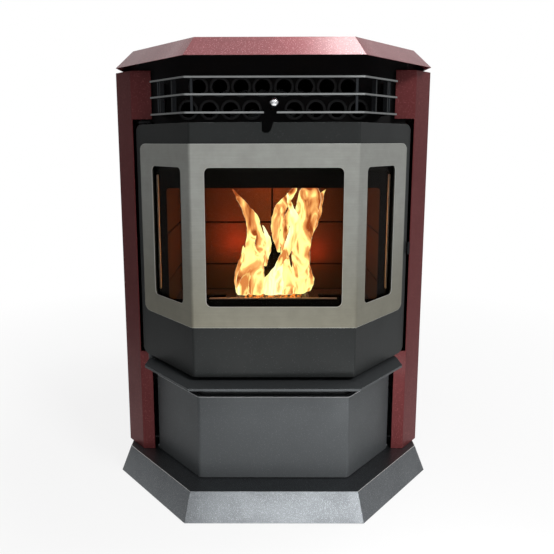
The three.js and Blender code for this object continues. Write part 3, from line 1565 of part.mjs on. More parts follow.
const firebox = new THREE.Group();
place(firebox, 'firebox_shell', fireboxShell(), paint.stoveBlack);
place(firebox, 'firebox_hearth', fireboxHearth(), paint.castIron);
place(firebox, 'firebrick_back', brickBack(), paint.brick);
place(firebox, 'firebrick_left', brickSide(-1), paint.brick);
place(firebox, 'firebrick_right', brickSide(1), paint.brick);
place(firebox, 'baffle_plate', bafflePlate(), paint.castIron);
place(firebox, 'heat_exchanger', heatExchanger(), paint.stoveBlack);
place(firebox, 'burn_pot', burnPot(), paint.castIron);
place(firebox, 'igniter', igniterRod(), paint.galvanised);
place(firebox, 'scraper_rod', scraperRod(), paint.galvanised);
place(firebox, 'scraper_knob', scraperKnob(), paint.chrome);

const drawer = new THREE.Group();
place(drawer, 'ash_drawer_front', ashDrawerFront(), paint.charcoal);
place(drawer, 'ash_pan', ashPan(), paint.galvanised);

const feed = new THREE.Group();
place(feed, 'hopper', hopperShell(), paint.galvanised);
place(feed, 'feed_chute', feedChute(), paint.stoveBlack);
place(feed, 'auger_tube', augerTube(), paint.galvanised);
place(feed, 'auger_screw', augerScrew(), paint.castIron);
place(feed, 'auger_motor', augerMotor(), paint.galvanised);

const air = new THREE.Group();
place(air, 'exhaust_housing', exhaustHousing(), paint.stoveBlack);
place(air, 'exhaust_impeller', exhaustImpeller(), paint.galvanised);
place(air, 'exhaust_motor', exhaustMotor(), paint.stoveBlack);
place(air, 'flue_outlet', flueOutlet(), paint.stoveBlack);
place(air, 'air_intake', airIntake(), paint.galvanised);
place(air, 'air_plenum', airPlenum(), paint.galvanised);
place(air, 'room_fan_housing', roomFanHousing(), paint.galvanised);
place(air, 'room_fan_wheel', roomFanWheel(), paint.galvanised);
place(air, 'room_fan_motor', roomFanMotor(), paint.stoveBlack);

const controls = new THREE.Group();
place(controls, 'control_panel', controlPanel(), paint.blackPlastic);
place(controls, 'display_window', displayWindow(), paint.glass);
place(controls, 'control_board', controlBoard(), paint.circuitBoard);
buttonPlaces.forEach((spot) => place(controls, spot.name, panelButton(spot), paint.greyPlastic));
place(controls, 'power_inlet', powerInlet(), paint.blackPlastic);

stove.add(cabinet, lid, door, firebox, drawer, feed, air, controls);

// The origin lies on the floor under the middle of the footprint.
const footprint = new THREE.Box3().setFromObject(stove);
stove.position.y = -(footprint.min.y + footprint.max.y) / 2;
stove.updateMatrixWorld(true);

export default stove;
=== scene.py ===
import json
import math
import random
import bpy
from mathutils import Matrix, Vector

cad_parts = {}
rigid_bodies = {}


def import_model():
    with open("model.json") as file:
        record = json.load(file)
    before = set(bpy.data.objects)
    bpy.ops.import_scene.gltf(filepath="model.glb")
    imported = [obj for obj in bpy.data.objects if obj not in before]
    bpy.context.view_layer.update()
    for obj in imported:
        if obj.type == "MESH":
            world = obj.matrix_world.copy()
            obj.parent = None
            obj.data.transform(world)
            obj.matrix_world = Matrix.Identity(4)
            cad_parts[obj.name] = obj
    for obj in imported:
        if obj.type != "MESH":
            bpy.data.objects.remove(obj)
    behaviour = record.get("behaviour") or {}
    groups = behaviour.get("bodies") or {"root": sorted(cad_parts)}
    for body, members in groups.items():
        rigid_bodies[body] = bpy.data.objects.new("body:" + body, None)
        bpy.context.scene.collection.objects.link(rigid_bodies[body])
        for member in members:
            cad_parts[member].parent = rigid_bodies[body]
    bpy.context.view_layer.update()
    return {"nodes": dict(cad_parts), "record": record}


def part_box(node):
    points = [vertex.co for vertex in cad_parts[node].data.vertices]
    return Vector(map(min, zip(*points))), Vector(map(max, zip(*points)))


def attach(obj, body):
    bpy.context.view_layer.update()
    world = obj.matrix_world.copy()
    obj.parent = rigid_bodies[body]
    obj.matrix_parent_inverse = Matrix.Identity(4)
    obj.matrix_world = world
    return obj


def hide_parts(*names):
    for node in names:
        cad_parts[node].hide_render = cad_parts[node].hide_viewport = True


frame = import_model()
record = frame["record"]
bodyOf = {node: body for body, nodes in record["behaviour"]["bodies"].items() for node in nodes}
slotOf = {part["node"]: part["material_slot"] for part in record["subparts"]}


# picking and finishing a piece

def focusOn(piece):
    for thing in bpy.context.view_layer.objects:
        thing.select_set(False)
    piece.select_set(True)
    bpy.context.view_layer.objects.active = piece


def clearPick(mesh):
    for items in (mesh.vertices, mesh.edges, mesh.polygons):
        items.foreach_set("select", [False] * len(items))


def pickFaces(piece, test):
    focusOn(piece)
    bpy.context.tool_settings.mesh_select_mode = (False, False, True)
    clearPick(piece.data)
    for face in piece.data.polygons:
        face.select = test(face)
    bpy.ops.object.mode_set(mode="EDIT")


def pickEdges(piece, test):
    focusOn(piece)
    bpy.context.tool_settings.mesh_select_mode = (False, True, False)
    clearPick(piece.data)
    points = piece.data.vertices
    for edge in piece.data.edges:
        edge.select = test(points[edge.vertices[0]].co, points[edge.vertices[1]].co)
    bpy.ops.object.mode_set(mode="EDIT")


def leaveEdit():
    bpy.ops.object.mode_set(mode="OBJECT")


def applyPlace(piece):
    focusOn(piece)
    bpy.ops.object.transform_apply(location=True, rotation=True, scale=True)


def useModifier(piece, kind, **settings):
    focusOn(piece)
    modifier = piece.modifiers.new(kind.lower(), kind)
    for name, value in settings.items():
        setattr(modifier, name, value)
    bpy.ops.object.modifier_apply(modifier=modifier.name)


def shadeByAngle(piece, degrees):
    focusOn(piece)
    bpy.ops.object.shade_smooth_by_angle(angle=math.radians(degrees))
    useModifier(piece, "WEIGHTED_NORMAL", mode="FACE_AREA", weight=90, keep_sharp=True)


def addBlock(name, low, high):
    bpy.ops.mesh.primitive_cube_add(size=1, location=[(a + b) / 2 for a, b in zip(low, high)])
    block = bpy.context.object
    block.name = name
    block.scale = [b - a for a, b in zip(low, high)]
    applyPlace(block)
    return block


def addRod(name, start, end, radius, sides=32, fill="NGON"):
    along = Vector(end) - Vector(start)
    bpy.ops.mesh.primitive_cylinder_add(
        vertices=sides, radius=radius, depth=along.length, end_fill_type=fill,
        location=(Vector(start) + Vector(end)) / 2, rotation=along.to_track_quat("Z", "Y").to_euler())
    rod = bpy.context.object
    rod.name = name
    applyPlace(rod)
    return rod


def softenEdges(piece, width, segments=2, material=-1):
    useModifier(piece, "BEVEL", width=width, segments=segments, limit_method="ANGLE",
                angle_limit=math.radians(32), use_clamp_overlap=True, material=material)


def cutAway(piece, cutter):
    useModifier(piece, "BOOLEAN", object=cutter, operation="DIFFERENCE", solver="EXACT")


def dropPiece(piece):
    focusOn(piece)
    bpy.ops.object.delete()


def copyPiece(piece, name, move=(0, 0, 0)):
    focusOn(piece)
    bpy.ops.object.duplicate()
    copied = bpy.context.object
    copied.name = name
    copied.location = Vector(copied.location) + Vector(move)
    return copied


def joinPieces(pieces, name):
    focusOn(pieces[0])
    for piece in pieces[1:]:
        piece.select_set(True)
    if len(pieces) > 1:
        bpy.ops.object.join()
    whole = bpy.context.object
    whole.name = name
    return whole


def newLumps(name, size):
    lumps = bpy.data.textures.new(name, "CLOUDS")
    lumps.noise_scale = size
    return lumps


def roughenShape(piece, lumps, strength, middle=0.5):
    useModifier(piece, "DISPLACE", texture=lumps, strength=strength, mid_level=middle, texture_coords="LOCAL")


def finishPiece(piece, body, slot, *materials, smooth=0):
    if smooth:
        shadeByAngle(piece, smooth)
    applyPlace(piece)
    if materials:
        piece.data.materials.clear()
        for material in materials:
            piece.data.materials.append(material)
    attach(piece, body)


def copyNode(node, name):
    focusOn(frame["nodes"][node])
    bpy.ops.object.duplicate()
    piece = bpy.context.object
    piece.name = name
    piece.parent = None
    for key in list(piece.keys()):
        del piece[key]
    piece.data.materials.clear()
    bpy.ops.object.mode_set(mode="EDIT")
    bpy.ops.mesh.select_all(action="SELECT")
    bpy.ops.mesh.remove_doubles(threshold=0.00002)
    bpy.ops.mesh.customdata_custom_splitnormals_clear()
    bpy.ops.mesh.dissolve_limited(angle_limit=math.radians(1))
    bpy.ops.object.mode_set(mode="OBJECT")
    return piece


# shader nodes

def addNode(tree, kind, settings=None, **inputs):
    node = tree.nodes.new("ShaderNode" + kind)
    for name, value in (settings or {}).items():
        setattr(node, name, value)
    for name, value in inputs.items():
        socket = node.inputs[int(name[1:])] if name[0] == "i" and name[1:].isdigit() else node.inputs[name]
        if isinstance(value, bpy.types.NodeSocket):
            tree.links.new(value, socket)
        else:
            socket.default_value = (*value[:3], 1) if socket.type == "RGBA" else value
    return node


def calculate(tree, operation, first, second=0.0, third=0.0):
    return addNode(tree, "Math", {"operation": operation}, i0=first, i1=second, i2=third).outputs[0]


def mapRange(tree, value, near=0.0, far=1.0, low=0.0, high=1.0, kind="LINEAR"):
    limits = {"From Min": near, "From Max": far, "To Min": low, "To Max": high}
    return addNode(tree, "MapRange", {"interpolation_type": kind}, Value=value, **limits).outputs["Result"]


def mixColours(tree, share, first, second, blend="MIX"):
    settings = {"data_type": "RGBA", "blend_type": blend}
    return addNode(tree, "Mix", settings, i0=share, i6=first, i7=second).outputs[2]


def ramp(tree, value, *stops):
    node = addNode(tree, "ValToRGB", Fac=value)
    stones = node.color_ramp.elements
    while len(stones) < len(stops):
        stones.new(0.5)
    for stone, (place, colour) in zip(stones, stops):
        stone.position = place
        stone.color = (*colour, 1)
    return node.outputs["Color"]


def objectPoint(tree):
    return addNode(tree, "TexCoord").outputs["Object"]


def objectAxis(tree, axis):
    return addNode(tree, "SeparateXYZ", Vector=objectPoint(tree)).outputs[axis]


def newGroup(name, inputs, outputs):
    group = bpy.data.node_groups.new(name, "ShaderNodeTree")
    for label, start in inputs.items():
        socket = group.interface.new_socket(label, in_out="INPUT", socket_type="NodeSocketFloat")
        socket.default_value = start
    for label in outputs:
        group.interface.new_socket(label, in_out="OUTPUT", socket_type="NodeSocketFloat")
    return group, group.nodes.new("NodeGroupInput").outputs, group.nodes.new("NodeGroupOutput").inputs


def useGroup(tree, group, **inputs):
    node = tree.nodes.new("ShaderNodeGroup")
    node.node_tree = group
    for name, value in inputs.items():
        node.inputs[name].default_value = value
    return node.outputs


def newMaterial(name, **sockets):
    material = bpy.data.materials.new(name)
    material.use_nodes = True
    tree = material.node_tree
    shader = tree.nodes["Principled BSDF"]
    for label, value in sockets.items():
        shader.inputs[label.replace("_", " ")].default_value = value
    return material, tree, shader.inputs


# shared effects

def buildFineTexture():
    group, given, out = newGroup("fineTexture", {"Scale": 900.0}, ["Height"])
    grains = addNode(group, "TexNoise", Vector=objectPoint(group), Scale=given["Scale"], Detail=2.0,
                     Roughness=0.6)
    group.links.new(grains.outputs["Fac"], out["Height"])
    return group


def buildFlake():
    group, given, out = newGroup("metalFlake", {"Scale": 700.0, "Share": 0.12}, ["Sparkle"])
    cells = addNode(group, "TexVoronoi", Vector=objectPoint(group), Scale=given["Scale"], Randomness=1.0)
    parts = addNode(group, "SeparateColor", Color=cells.outputs["Color"])
    rare = calculate(group, "LESS_THAN", parts.outputs["Red"], given["Share"])
    small = calculate(group, "LESS_THAN", cells.outputs["Distance"], 0.42)  # a flake fills part of its cell
    sparkle = calculate(group, "MULTIPLY", rare, small)
    group.links.new(calculate(group, "MULTIPLY", sparkle, parts.outputs["Green"]), out["Sparkle"])
    return group


def buildBrushing():
    group, given, out = newGroup("brushing", {"Along": 14.0, "Across": 900.0}, ["Streak", "Mottle"])
    place = objectPoint(group)
    stretch = addNode(group, "CombineXYZ", X=given["Along"], Y=given["Along"], Z=given["Across"])
    turned = addNode(group, "VectorMath", {"operation": "MULTIPLY"}, i0=place, i1=stretch.outputs[0])
    streak = addNode(group, "TexNoise", Vector=turned.outputs[0], Scale=1.0, Detail=4.0, Roughness=0.65)
    mottle = addNode(group, "TexNoise", Vector=place, Scale=38.0, Detail=5.0, Roughness=0.7)
    group.links.new(streak.outputs["Fac"], out["Streak"])
    group.links.new(mottle.outputs["Fac"], out["Mottle"])
    return group


def buildGrime():
    group, given, out = newGroup("grime", {"Scale": 9.0, "Low": 0.45, "High": 0.75}, ["Mask"])
    clouds = addNode(group, "TexNoise", Vector=objectPoint(group), Scale=given["Scale"], Detail=6.0,
                     Roughness=0.62)
    group.links.new(mapRange(group, clouds.outputs["Fac"], given["Low"], given["High"]), out["Mask"])
    return group


fineTexture = buildFineTexture()
metalFlake = buildFlake()
brushing = buildBrushing()
grime = buildGrime()


# finishes: each kind has its usual settings, and a look adds what is its own

paintUsual = {"metallic": 0.35, "specular": 0.1, "coat": 0.0, "coatRoughness": 0.2, "roughSpread": 0.08,
              "grainScale": 1100.0, "bump": 0.3, "depth": 0.0002}
metalUsual = {"metallic": 1.0, "along": 40.0, "across": 400.0, "roughness": 0.38, "roughSpread": 0.14,
              "bump": 0.1, "depth": 0.0001}
plasticUsual = {"specular": 0.4, "grimeScale": 30.0, "grainScale": 1500.0, "roughSpread": 0.1,
                "depth": 0.0002}
brickUsual = {"specular": 0.15, "cloudScale": 260.0, "pitScale": 700.0, "roughness": 0.75, "roughSpread": 0.2,
              "bump": 0.6, "depth": 0.0012}


def merged(*looks):
    return {key: value for look in looks for key, value in look.items()}


def roughen(tree, mask, look, into):
    rough = mapRange(tree, mask, low=look["roughness"], high=look["roughness"] + look["roughSpread"])
    tree.links.new(rough, into["Roughness"])


def bumpBy(tree, height, look, into):
    bump = addNode(tree, "Bump", Height=height, Strength=look["bump"], Distance=look["depth"])
    tree.links.new(bump.outputs["Normal"], into["Normal"])


def paintFinish(name, *looks):
    look = merged(paintUsual, *looks)
    material, tree, into = newMaterial(
        name, Metallic=look["metallic"], Specular_IOR_Level=look["specular"],
        Coat_Weight=look["coat"], Coat_Roughness=look["coatRoughness"])
    flake = useGroup(tree, metalFlake, Scale=look["flakeScale"], Share=look["flakeShare"])
    dirt = useGroup(tree, grime, Scale=look["grimeScale"])
    grains = useGroup(tree, fineTexture, Scale=look["grainScale"])
    toned = mixColours(tree, dirt["Mask"], look["colour"], look["shade"])
    tree.links.new(mixColours(tree, flake["Sparkle"], toned, look["flakeColour"]), into["Base Color"])
    roughen(tree, dirt["Mask"], look, into)
    bumpBy(tree, grains["Height"], look, into)
    return material


def metalFinish(name, own):
    look = merged(metalUsual, own)
    material, tree, into = newMaterial(name, Metallic=look["metallic"])
    grain = useGroup(tree, brushing, Along=look["along"], Across=look["across"])
    streaked = mixColours(tree, grain["Streak"], look["dark"], look["light"])
    tone = mixColours(tree, grain["Mottle"], look["mottle"], streaked)
    if "warmBelow" in look:
        # painted shade: the steel is darker and warmer towards the bottom
        low = mapRange(tree, objectAxis(tree, "Z"), *look["warmBelow"], 1.0, 0.0, "SMOOTHSTEP")
        tone = mixColours(tree, low, tone, look["warm"], "MULTIPLY")
    tree.links.new(tone, into["Base Color"])
    roughen(tree, grain["Mottle"], look, into)
    bumpBy(tree, grain["Streak"], look, into)
    return material


def plasticFinish(name, own):
    look = merged(plasticUsual, own)
    material, tree, into = newMaterial(name, Specular_IOR_Level=look["specular"])
    grains = useGroup(tree, fineTexture, Scale=look["grainScale"])
    dirt = useGroup(tree, grime, Scale=look["grimeScale"])
    tree.links.new(mixColours(tree, dirt["Mask"], look["colour"], look["shade"]), into["Base Color"])
    roughen(tree, grains["Height"], look, into)
    bumpBy(tree, grains["Height"], look, into)
    return material


def glassFinish(name, colour, roughness, specular, transmission):
    material, tree, into = newMaterial(
        name, Roughness=roughness, Transmission_Weight=transmission, Specular_IOR_Level=specular, IOR=1.07)
    dirt = useGroup(tree, grime, Scale=11.0, Low=0.5, High=0.9)
    sooty = [0.9 * part for part in colour]
    tree.links.new(mixColours(tree, dirt["Mask"], colour, sooty), into["Base Color"])
    return material


def brickFinish(name, own):
    look = merged(brickUsual, own)
    material, tree, into = newMaterial(name, Specular_IOR_Level=look["specular"])
    place = objectPoint(tree)
    clouds = addNode(tree, "TexNoise", Vector=place, Scale=look["cloudScale"], Detail=8.0, Roughness=0.7)
    pits = addNode(tree, "TexVoronoi", Vector=place, Scale=look["pitScale"])
    body = ramp(tree, clouds.outputs["Fac"], (0.3, look["dark"]), (0.5, look["colour"]), (0.72, look["pale"]))
    # soot and painted shade: the bricks get darker low down and towards the sides, away from the fire's glow
    if "sootAndShade" in look:
        across = calculate(tree, "ABSOLUTE", objectAxis(tree, "X"))
        for value, limits in ((objectAxis(tree, "Z"), look["sootAndShadeLow"]), (across, look["sootAndShadeSides"])):
            darkened = mapRange(tree, value, *limits, 0.0, look["sootAndShadeShare"], "SMOOTHSTEP")
            body = mixColours(tree, darkened, body, look["sootAndShade"])
    tree.links.new(body, into["Base Color"])
    bumpBy(tree, calculate(tree, "ADD", clouds.outputs["Fac"], pits.outputs["Distance"]), look, into)
    rough = calculate(tree, "MULTIPLY_ADD", clouds.outputs["Fac"], look["roughSpread"], look["roughness"])
    tree.links.new(rough, into["Roughness"])
    return material


burgundyLook = {
    "colour": (0.113, 0.026, 0.027), "shade": (0.096, 0.021, 0.022), "flakeColour": (0.32, 0.11, 0.11),
    "metallic": 0.3, "specular": 0.03, "roughness": 0.4, "coat": 0.07, "coatRoughness": 0.16,
    "flakeScale": 900.0, "flakeShare": 0.16, "grimeScale": 7.0, "bump": 0.25,
}
# lit copy of the burgundy paint for the top cover: lighter, glossier and with more flake, a painted sheen
coverLitShift = {
    "colour": (0.18, 0.034, 0.04), "shade": (0.15, 0.028, 0.033), "flakeColour": (0.55, 0.22, 0.25),
    "metallic": 0.35, "coat": 0.42, "coatRoughness": 0.21, "flakeShare": 0.25, "bump": 0.7,
}
charcoalLook = {
    "colour": (0.045, 0.049, 0.050), "shade": (0.038, 0.041, 0.042), "flakeColour": (0.16, 0.17, 0.18),
    "roughness": 0.38, "flakeScale": 1100.0, "flakeShare": 0.1, "grainScale": 1300.0, "grimeScale": 6.0,
}
# shaded copy of the charcoal paint for the door frame: darker, a painted shade
doorShadedShift = {
    "colour": (0.026, 0.028, 0.028), "shade": (0.021, 0.023, 0.023), "flakeColour": (0.08, 0.085, 0.09),
    "metallic": 0.25, "flakeShare": 0.05,
}
# lit copy of the charcoal paint for the ash lip and drawer front: lighter, a painted highlight
drawerLitShift = {"colour": (0.066, 0.071, 0.074), "shade": (0.057, 0.061, 0.064)}
# lit copy of the charcoal paint for the plinth: light and near-mirror metal, a painted sheen
plinthSheenLook = {
    "colour": (0.12, 0.128, 0.135), "shade": (0.1, 0.106, 0.112), "flakeColour": (0.34, 0.36, 0.38),
    "metallic": 0.93, "roughness": 0.34, "roughSpread": 0.06,
    "flakeScale": 1300.0, "flakeShare": 0.35, "grimeScale": 16.0, "bump": 0.6,
}
blackLook = {
    "colour": (0.008, 0.008, 0.009), "shade": (0.012, 0.011, 0.010), "flakeColour": (0.02, 0.02, 0.02),
    "metallic": 0.0, "specular": 0.12, "roughness": 0.62, "roughSpread": 0.14,
    "flakeScale": 800.0, "flakeShare": 0.04, "grainScale": 900.0, "grimeScale": 12.0,
}
edgeHighlightShift = {  # painted highlight: the lighter paint that the bevels get where an edge catches the light
    "burgundy": {"colour": (0.27, 0.075, 0.085), "shade": (0.2, 0.055, 0.06), "roughness": 0.3},
    "charcoal": {"colour": (0.6, 0.61, 0.62), "shade": (0.42, 0.425, 0.43), "metallic": 0.0,
                 "roughness": 0.4},
}
trimLook = {
    "light": (0.43, 0.445, 0.415), "dark": (0.3, 0.31, 0.29), "mottle": (0.25, 0.25, 0.23), "metallic": 0.6,
    "along": 9.0, "across": 700.0, "roughness": 0.3, "bump": 0.35,
    # painted shade on the lower trim
    "warmBelow": (0.34, 0.6), "warm": (0.66, 0.62, 0.52),
}
barLook = {
    "light": (0.04, 0.043, 0.047), "dark": (0.025, 0.027, 0.03), "mottle": (0.02, 0.022, 0.024),
    "along": 20.0, "across": 900.0, "roughness": 0.34, "bump": 0.3,
}
zincLook = {
    "light": (0.36, 0.37, 0.38), "dark": (0.25, 0.26, 0.27), "mottle": (0.2, 0.21, 0.22), "across": 60.0,
}
chromeLook = {
    "light": (0.8, 0.8, 0.82), "dark": (0.76, 0.77, 0.79), "mottle": (0.72, 0.73, 0.75),
    "along": 200.0, "across": 200.0, "roughness": 0.05, "bump": 0.02,
}
edgeLook = {"light": (0.86, 0.87, 0.85), "dark": (0.74, 0.75, 0.73), "mottle": (0.7, 0.7, 0.68)}
tubeMouthLook = {
    "light": (0.05, 0.052, 0.055), "dark": (0.026, 0.027, 0.028), "mottle": (0.02, 0.02, 0.02),
    "along": 60.0, "across": 60.0, "roughness": 0.45,
}
# painted highlight: the bar fronts get a much lighter steel than the bars
barFrontHighlightLook = {
    "light": (0.36, 0.37, 0.37), "dark": (0.27, 0.28, 0.28), "mottle": (0.2, 0.21, 0.21), "roughness": 0.36,
}
brickLook = {
    "colour": (0.15, 0.058, 0.038), "dark": (0.085, 0.032, 0.022), "pale": (0.24, 0.11, 0.075),
    # soot and painted shade, low down and at the sides
    "sootAndShade": (0.035, 0.032, 0.016), "sootAndShadeShare": 0.7, "sootAndShadeLow": (0.45, 0.37), "sootAndShadeSides": (0.1, 0.2),
}
mortarLook = {
    "colour": (0.01, 0.007, 0.006), "dark": (0.006, 0.005, 0.004), "pale": (0.02, 0.015, 0.012),
    "cloudScale": 120.0, "pitScale": 600.0,
}
ironLook = {"colour": (0.05, 0.046, 0.043), "dark": (0.02, 0.018, 0.017), "pale": (0.14, 0.125, 0.11)}
ropeLook = {
    "colour": (0.34, 0.33, 0.29), "dark": (0.2, 0.19, 0.17), "pale": (0.48, 0.47, 0.43),
    "cloudScale": 300.0, "pitScale": 900.0,
}
ashedLook = {
    "colour": (0.16, 0.165, 0.17), "dark": (0.03, 0.03, 0.03), "pale": (0.55, 0.56, 0.58),
    "cloudScale": 420.0, "pitScale": 900.0,
}
tapeLook = {
    "colour": (0.7, 0.7, 0.66), "dark": (0.5, 0.49, 0.46), "pale": (0.85, 0.85, 0.82),
    "cloudScale": 300.0, "pitScale": 900.0,
}
rubberLook = {"colour": (0.012, 0.012, 0.012), "shade": (0.02, 0.019, 0.018),
              "roughness": 0.75, "grainScale": 600.0, "bump": 0.4}
blackPlasticLook = {"colour": (0.018, 0.019, 0.021), "shade": (0.024, 0.025, 0.026),
                    "roughness": 0.42, "bump": 0.25}
keyLook = {"colour": (0.32, 0.335, 0.345), "shade": (0.27, 0.28, 0.29), "roughness": 0.4, "bump": 0.15}
boardLook = {"colour": (0.015, 0.1, 0.045), "shade": (0.012, 0.08, 0.038),
             "roughness": 0.35, "grainScale": 700.0, "bump": 0.2}

finishes = {
    "burgundy_paint": paintFinish("burgundyPaint", burgundyLook),
    "charcoal_paint": paintFinish("charcoalPaint", charcoalLook),
    "stove_black": paintFinish("stoveBlack", blackLook),
    "brushed_trim": metalFinish("brushedTrim", trimLook),
    "bar_steel": metalFinish("barSteel", barLook),
    "zinc_sheet": metalFinish("zincSheet", zincLook),
    "chrome_knob": metalFinish("chrome", chromeLook),
    "stove_glass": glassFinish("stoveGlass", (0.72, 0.68, 0.62), 0.0, 0.03, 1.0),
    "display_glass": glassFinish("displayGlass", (0.1, 0.13, 0.15), 0.05, 0.4, 0.6),
    "rope_seal": brickFinish("ropeSeal", ropeLook),
    "firebrick": brickFinish("firebrick", brickLook),
    "cast_iron": brickFinish("castIron", ironLook),
    "foot_rubber": plasticFinish("footRubber", rubberLook),
    "black_plastic": plasticFinish("blackPlastic", blackPlasticLook),
    "button_plastic": plasticFinish("buttonPlastic", keyLook),
    "circuit_board": plasticFinish("circuitBoard", boardLook),
}
# bright metal for edges and small heads: a painted highlight on the trim, lip and plinth edges and a painted
# glint on the screws in the gap
brightEdge = metalFinish("cutEdgeHighlight", edgeLook)
barFrontHighlight = metalFinish("barFrontHighlight", barFrontHighlightLook)
burgundyEdgeHighlight = paintFinish("burgundyEdgeHighlight", burgundyLook, edgeHighlightShift["burgundy"])
charcoalEdgeHighlight = paintFinish("charcoalEdgeHighlight", charcoalLook, edgeHighlightShift["charcoal"])
# lit and shaded copies of one paint: painted sheen, highlight and shade
plinthSheenPaint = paintFinish("plinthSheenPaint", plinthSheenLook)
doorShadedPaint = paintFinish("doorShadedPaint", charcoalLook, doorShadedShift)
drawerLitPaint = paintFinish("drawerLitPaint", charcoalLook, drawerLitShift)
coverLitPaint = paintFinish("coverLitPaint", burgundyLook, coverLitShift)
ownFinish = {"plinth_skirt": plinthSheenPaint, "latch_strike": finishes["stove_black"], "door_frame": doorShadedPaint,
             "ash_lip": drawerLitPaint, "ash_drawer_front": drawerLitPaint, "top_cover": coverLitPaint,
             "burn_pot": brickFinish("ashedIron", ashedLook)}
glassTape = brickFinish("glassTape", tapeLook)
mortarFinish = brickFinish("mortar", mortarLook)
tubeMouth = metalFinish("tubeMouth", tubeMouthLook)
print("finishes made:", len(finishes))


# bevelled skins over the plain solids

skins = {
    "thin": {"width": 0.0004, "segments": 1, "nodes": [
        "left_side_panel", "right_side_panel", "rear_panel", "plinth_skirt",
        "base_pan", "hopper", "ash_pan", "control_panel", "room_fan_housing"]},
    "sheet": {"width": 0.0008, "segments": 2, "nodes": [
        "top_cover", "ash_lip", "air_grille", "door_trim", "ash_drawer_front"]},
    "soft": {"width": 0.0011, "segments": 2, "nodes": [
        "door_frame", "hopper_lid", "firebox_shell", "baffle_plate", "scraper_rod",
        "door_latch", "latch_strike", "door_pivot_upper", "exhaust_housing", "exhaust_motor", "air_plenum",
        "feed_chute", "auger_tube", "auger_motor", "power_inlet", "room_fan_motor",
        "button_power", "button_up", "button_down", "button_mode", "button_timer", "control_board"]},
    "worn": {"width": 0.0024, "segments": 3, "nodes": ["firebox_hearth", "lid_handle", "burn_pot"]},
}
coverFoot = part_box("top_cover")[0].z
bandAbove = {"ash_lip": 0.2522, "ash_drawer_front": 0.2118, "door_frame": 0.7032, "plinth_skirt": 0.0515}
# where a node's edges catch the light, the bevel gets a lighter finish of its own, a painted highlight
highlightBands = {
    "door_trim": (brightEdge, lambda face: True),
    "air_grille": (barFrontHighlight, lambda face: True),
    "top_cover": (burgundyEdgeHighlight, lambda face: face.center.z < coverFoot + 0.0012),
    "ash_lip": (brightEdge, lambda face: face.center.z > bandAbove["ash_lip"] and face.center.y < -0.15),
    "ash_drawer_front": (charcoalEdgeHighlight, lambda face: face.center.z > bandAbove["ash_drawer_front"]),
    "door_frame": (charcoalEdgeHighlight, lambda face: face.center.z > bandAbove["door_frame"]
                   and face.normal.z > 0.1),
    "plinth_skirt": (brightEdge, lambda face: face.center.z > bandAbove["plinth_skirt"]
                     and face.center.y < -0.32 + abs(face.normal.x)),
}
grilleLow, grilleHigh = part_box("air_grille")
barLevels = (grilleLow.z + 0.0015, (grilleLow.z + grilleHigh.z) / 2, grilleHigh.z - 0.0015)
barLimits = {"tall": 0.004, "near": 0.0017, "facing": -0.3}


def onBarFront(piece, face):
    heights = [piece.data.vertices[index].co.z for index in face.vertices]
    near = min(abs(face.center.z - level) for level in barLevels) < barLimits["near"]
    facing = face.normal.y < barLimits["facing"] < face.normal.z
    return max(heights) - min(heights) < barLimits["tall"] and near and facing


def makeSkins():
    for kind, look in skins.items():
        for node in look["nodes"]:
            piece = copyNode(node, node + "_skin")
            piece.data.materials.append(ownFinish.get(node, finishes[slotOf[node]]))
            banded = node in highlightBands
            if banded:
                piece.data.materials.append(highlightBands[node][0])
            softenEdges(piece, look["width"], look["segments"], 1 if banded else -1)
            for face in piece.data.polygons:
                if face.material_index == 1 and not highlightBands[node][1](face):
                    face.material_index = 0
                # the faces along the bar fronts take the painted highlight finish
                if node == "air_grille":
                    face.material_index = int(onBarFront(piece, face))
            finishPiece(piece, bodyOf[node], slotOf[node], smooth=40)
            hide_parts(node)
        print("skins:", kind, len(look["nodes"]))


makeSkins()

for node, thing in frame["nodes"].items():
    if not thing.hide_render:
        thing.data.materials.clear()
        thing.data.materials.append(finishes[slotOf[node]])
        shadeByAngle(thing, 40)


# brick lining: courses in running bond before a bed of mortar

brickWork = {
    "joints": (0.399, 0.495, 0.591), "length": 0.36, "joint": 0.0028, "recess": 0.0035, "edge": 0.0013,
    "rough": 0.0009, "cuts": 6, "shortest": 0.012, "chuteGap": 0.0003, "chuteTall": 0.0663,
    "walls": {  # node: axis along the wall, axis across it, direction from its face to its back, first bond
        "firebrick_back": (0, 1, 1, 0.0), "firebrick_left": (1, 0, -1, 0.03),
        "firebrick_right": (1, 0, 1, 0.03)},
}


def makeChuteCutter():
    low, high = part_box("feed_chute")
    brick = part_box("firebrick_back")
    middle = (brick[0].y + brick[1].y) / 2
    depth = brick[1].y - brick[0].y + 0.01
    rise = middle - low.y
    gap = brickWork["chuteGap"]
    cutter = addBlock("chuteCutter", (low.x - gap, middle - depth / 2, low.z - gap + rise),
                      (high.x + gap, middle + depth / 2, low.z + brickWork["chuteTall"] + rise))
    for corner in cutter.data.vertices:
        corner.co.z += corner.co.y - middle
    return cutter


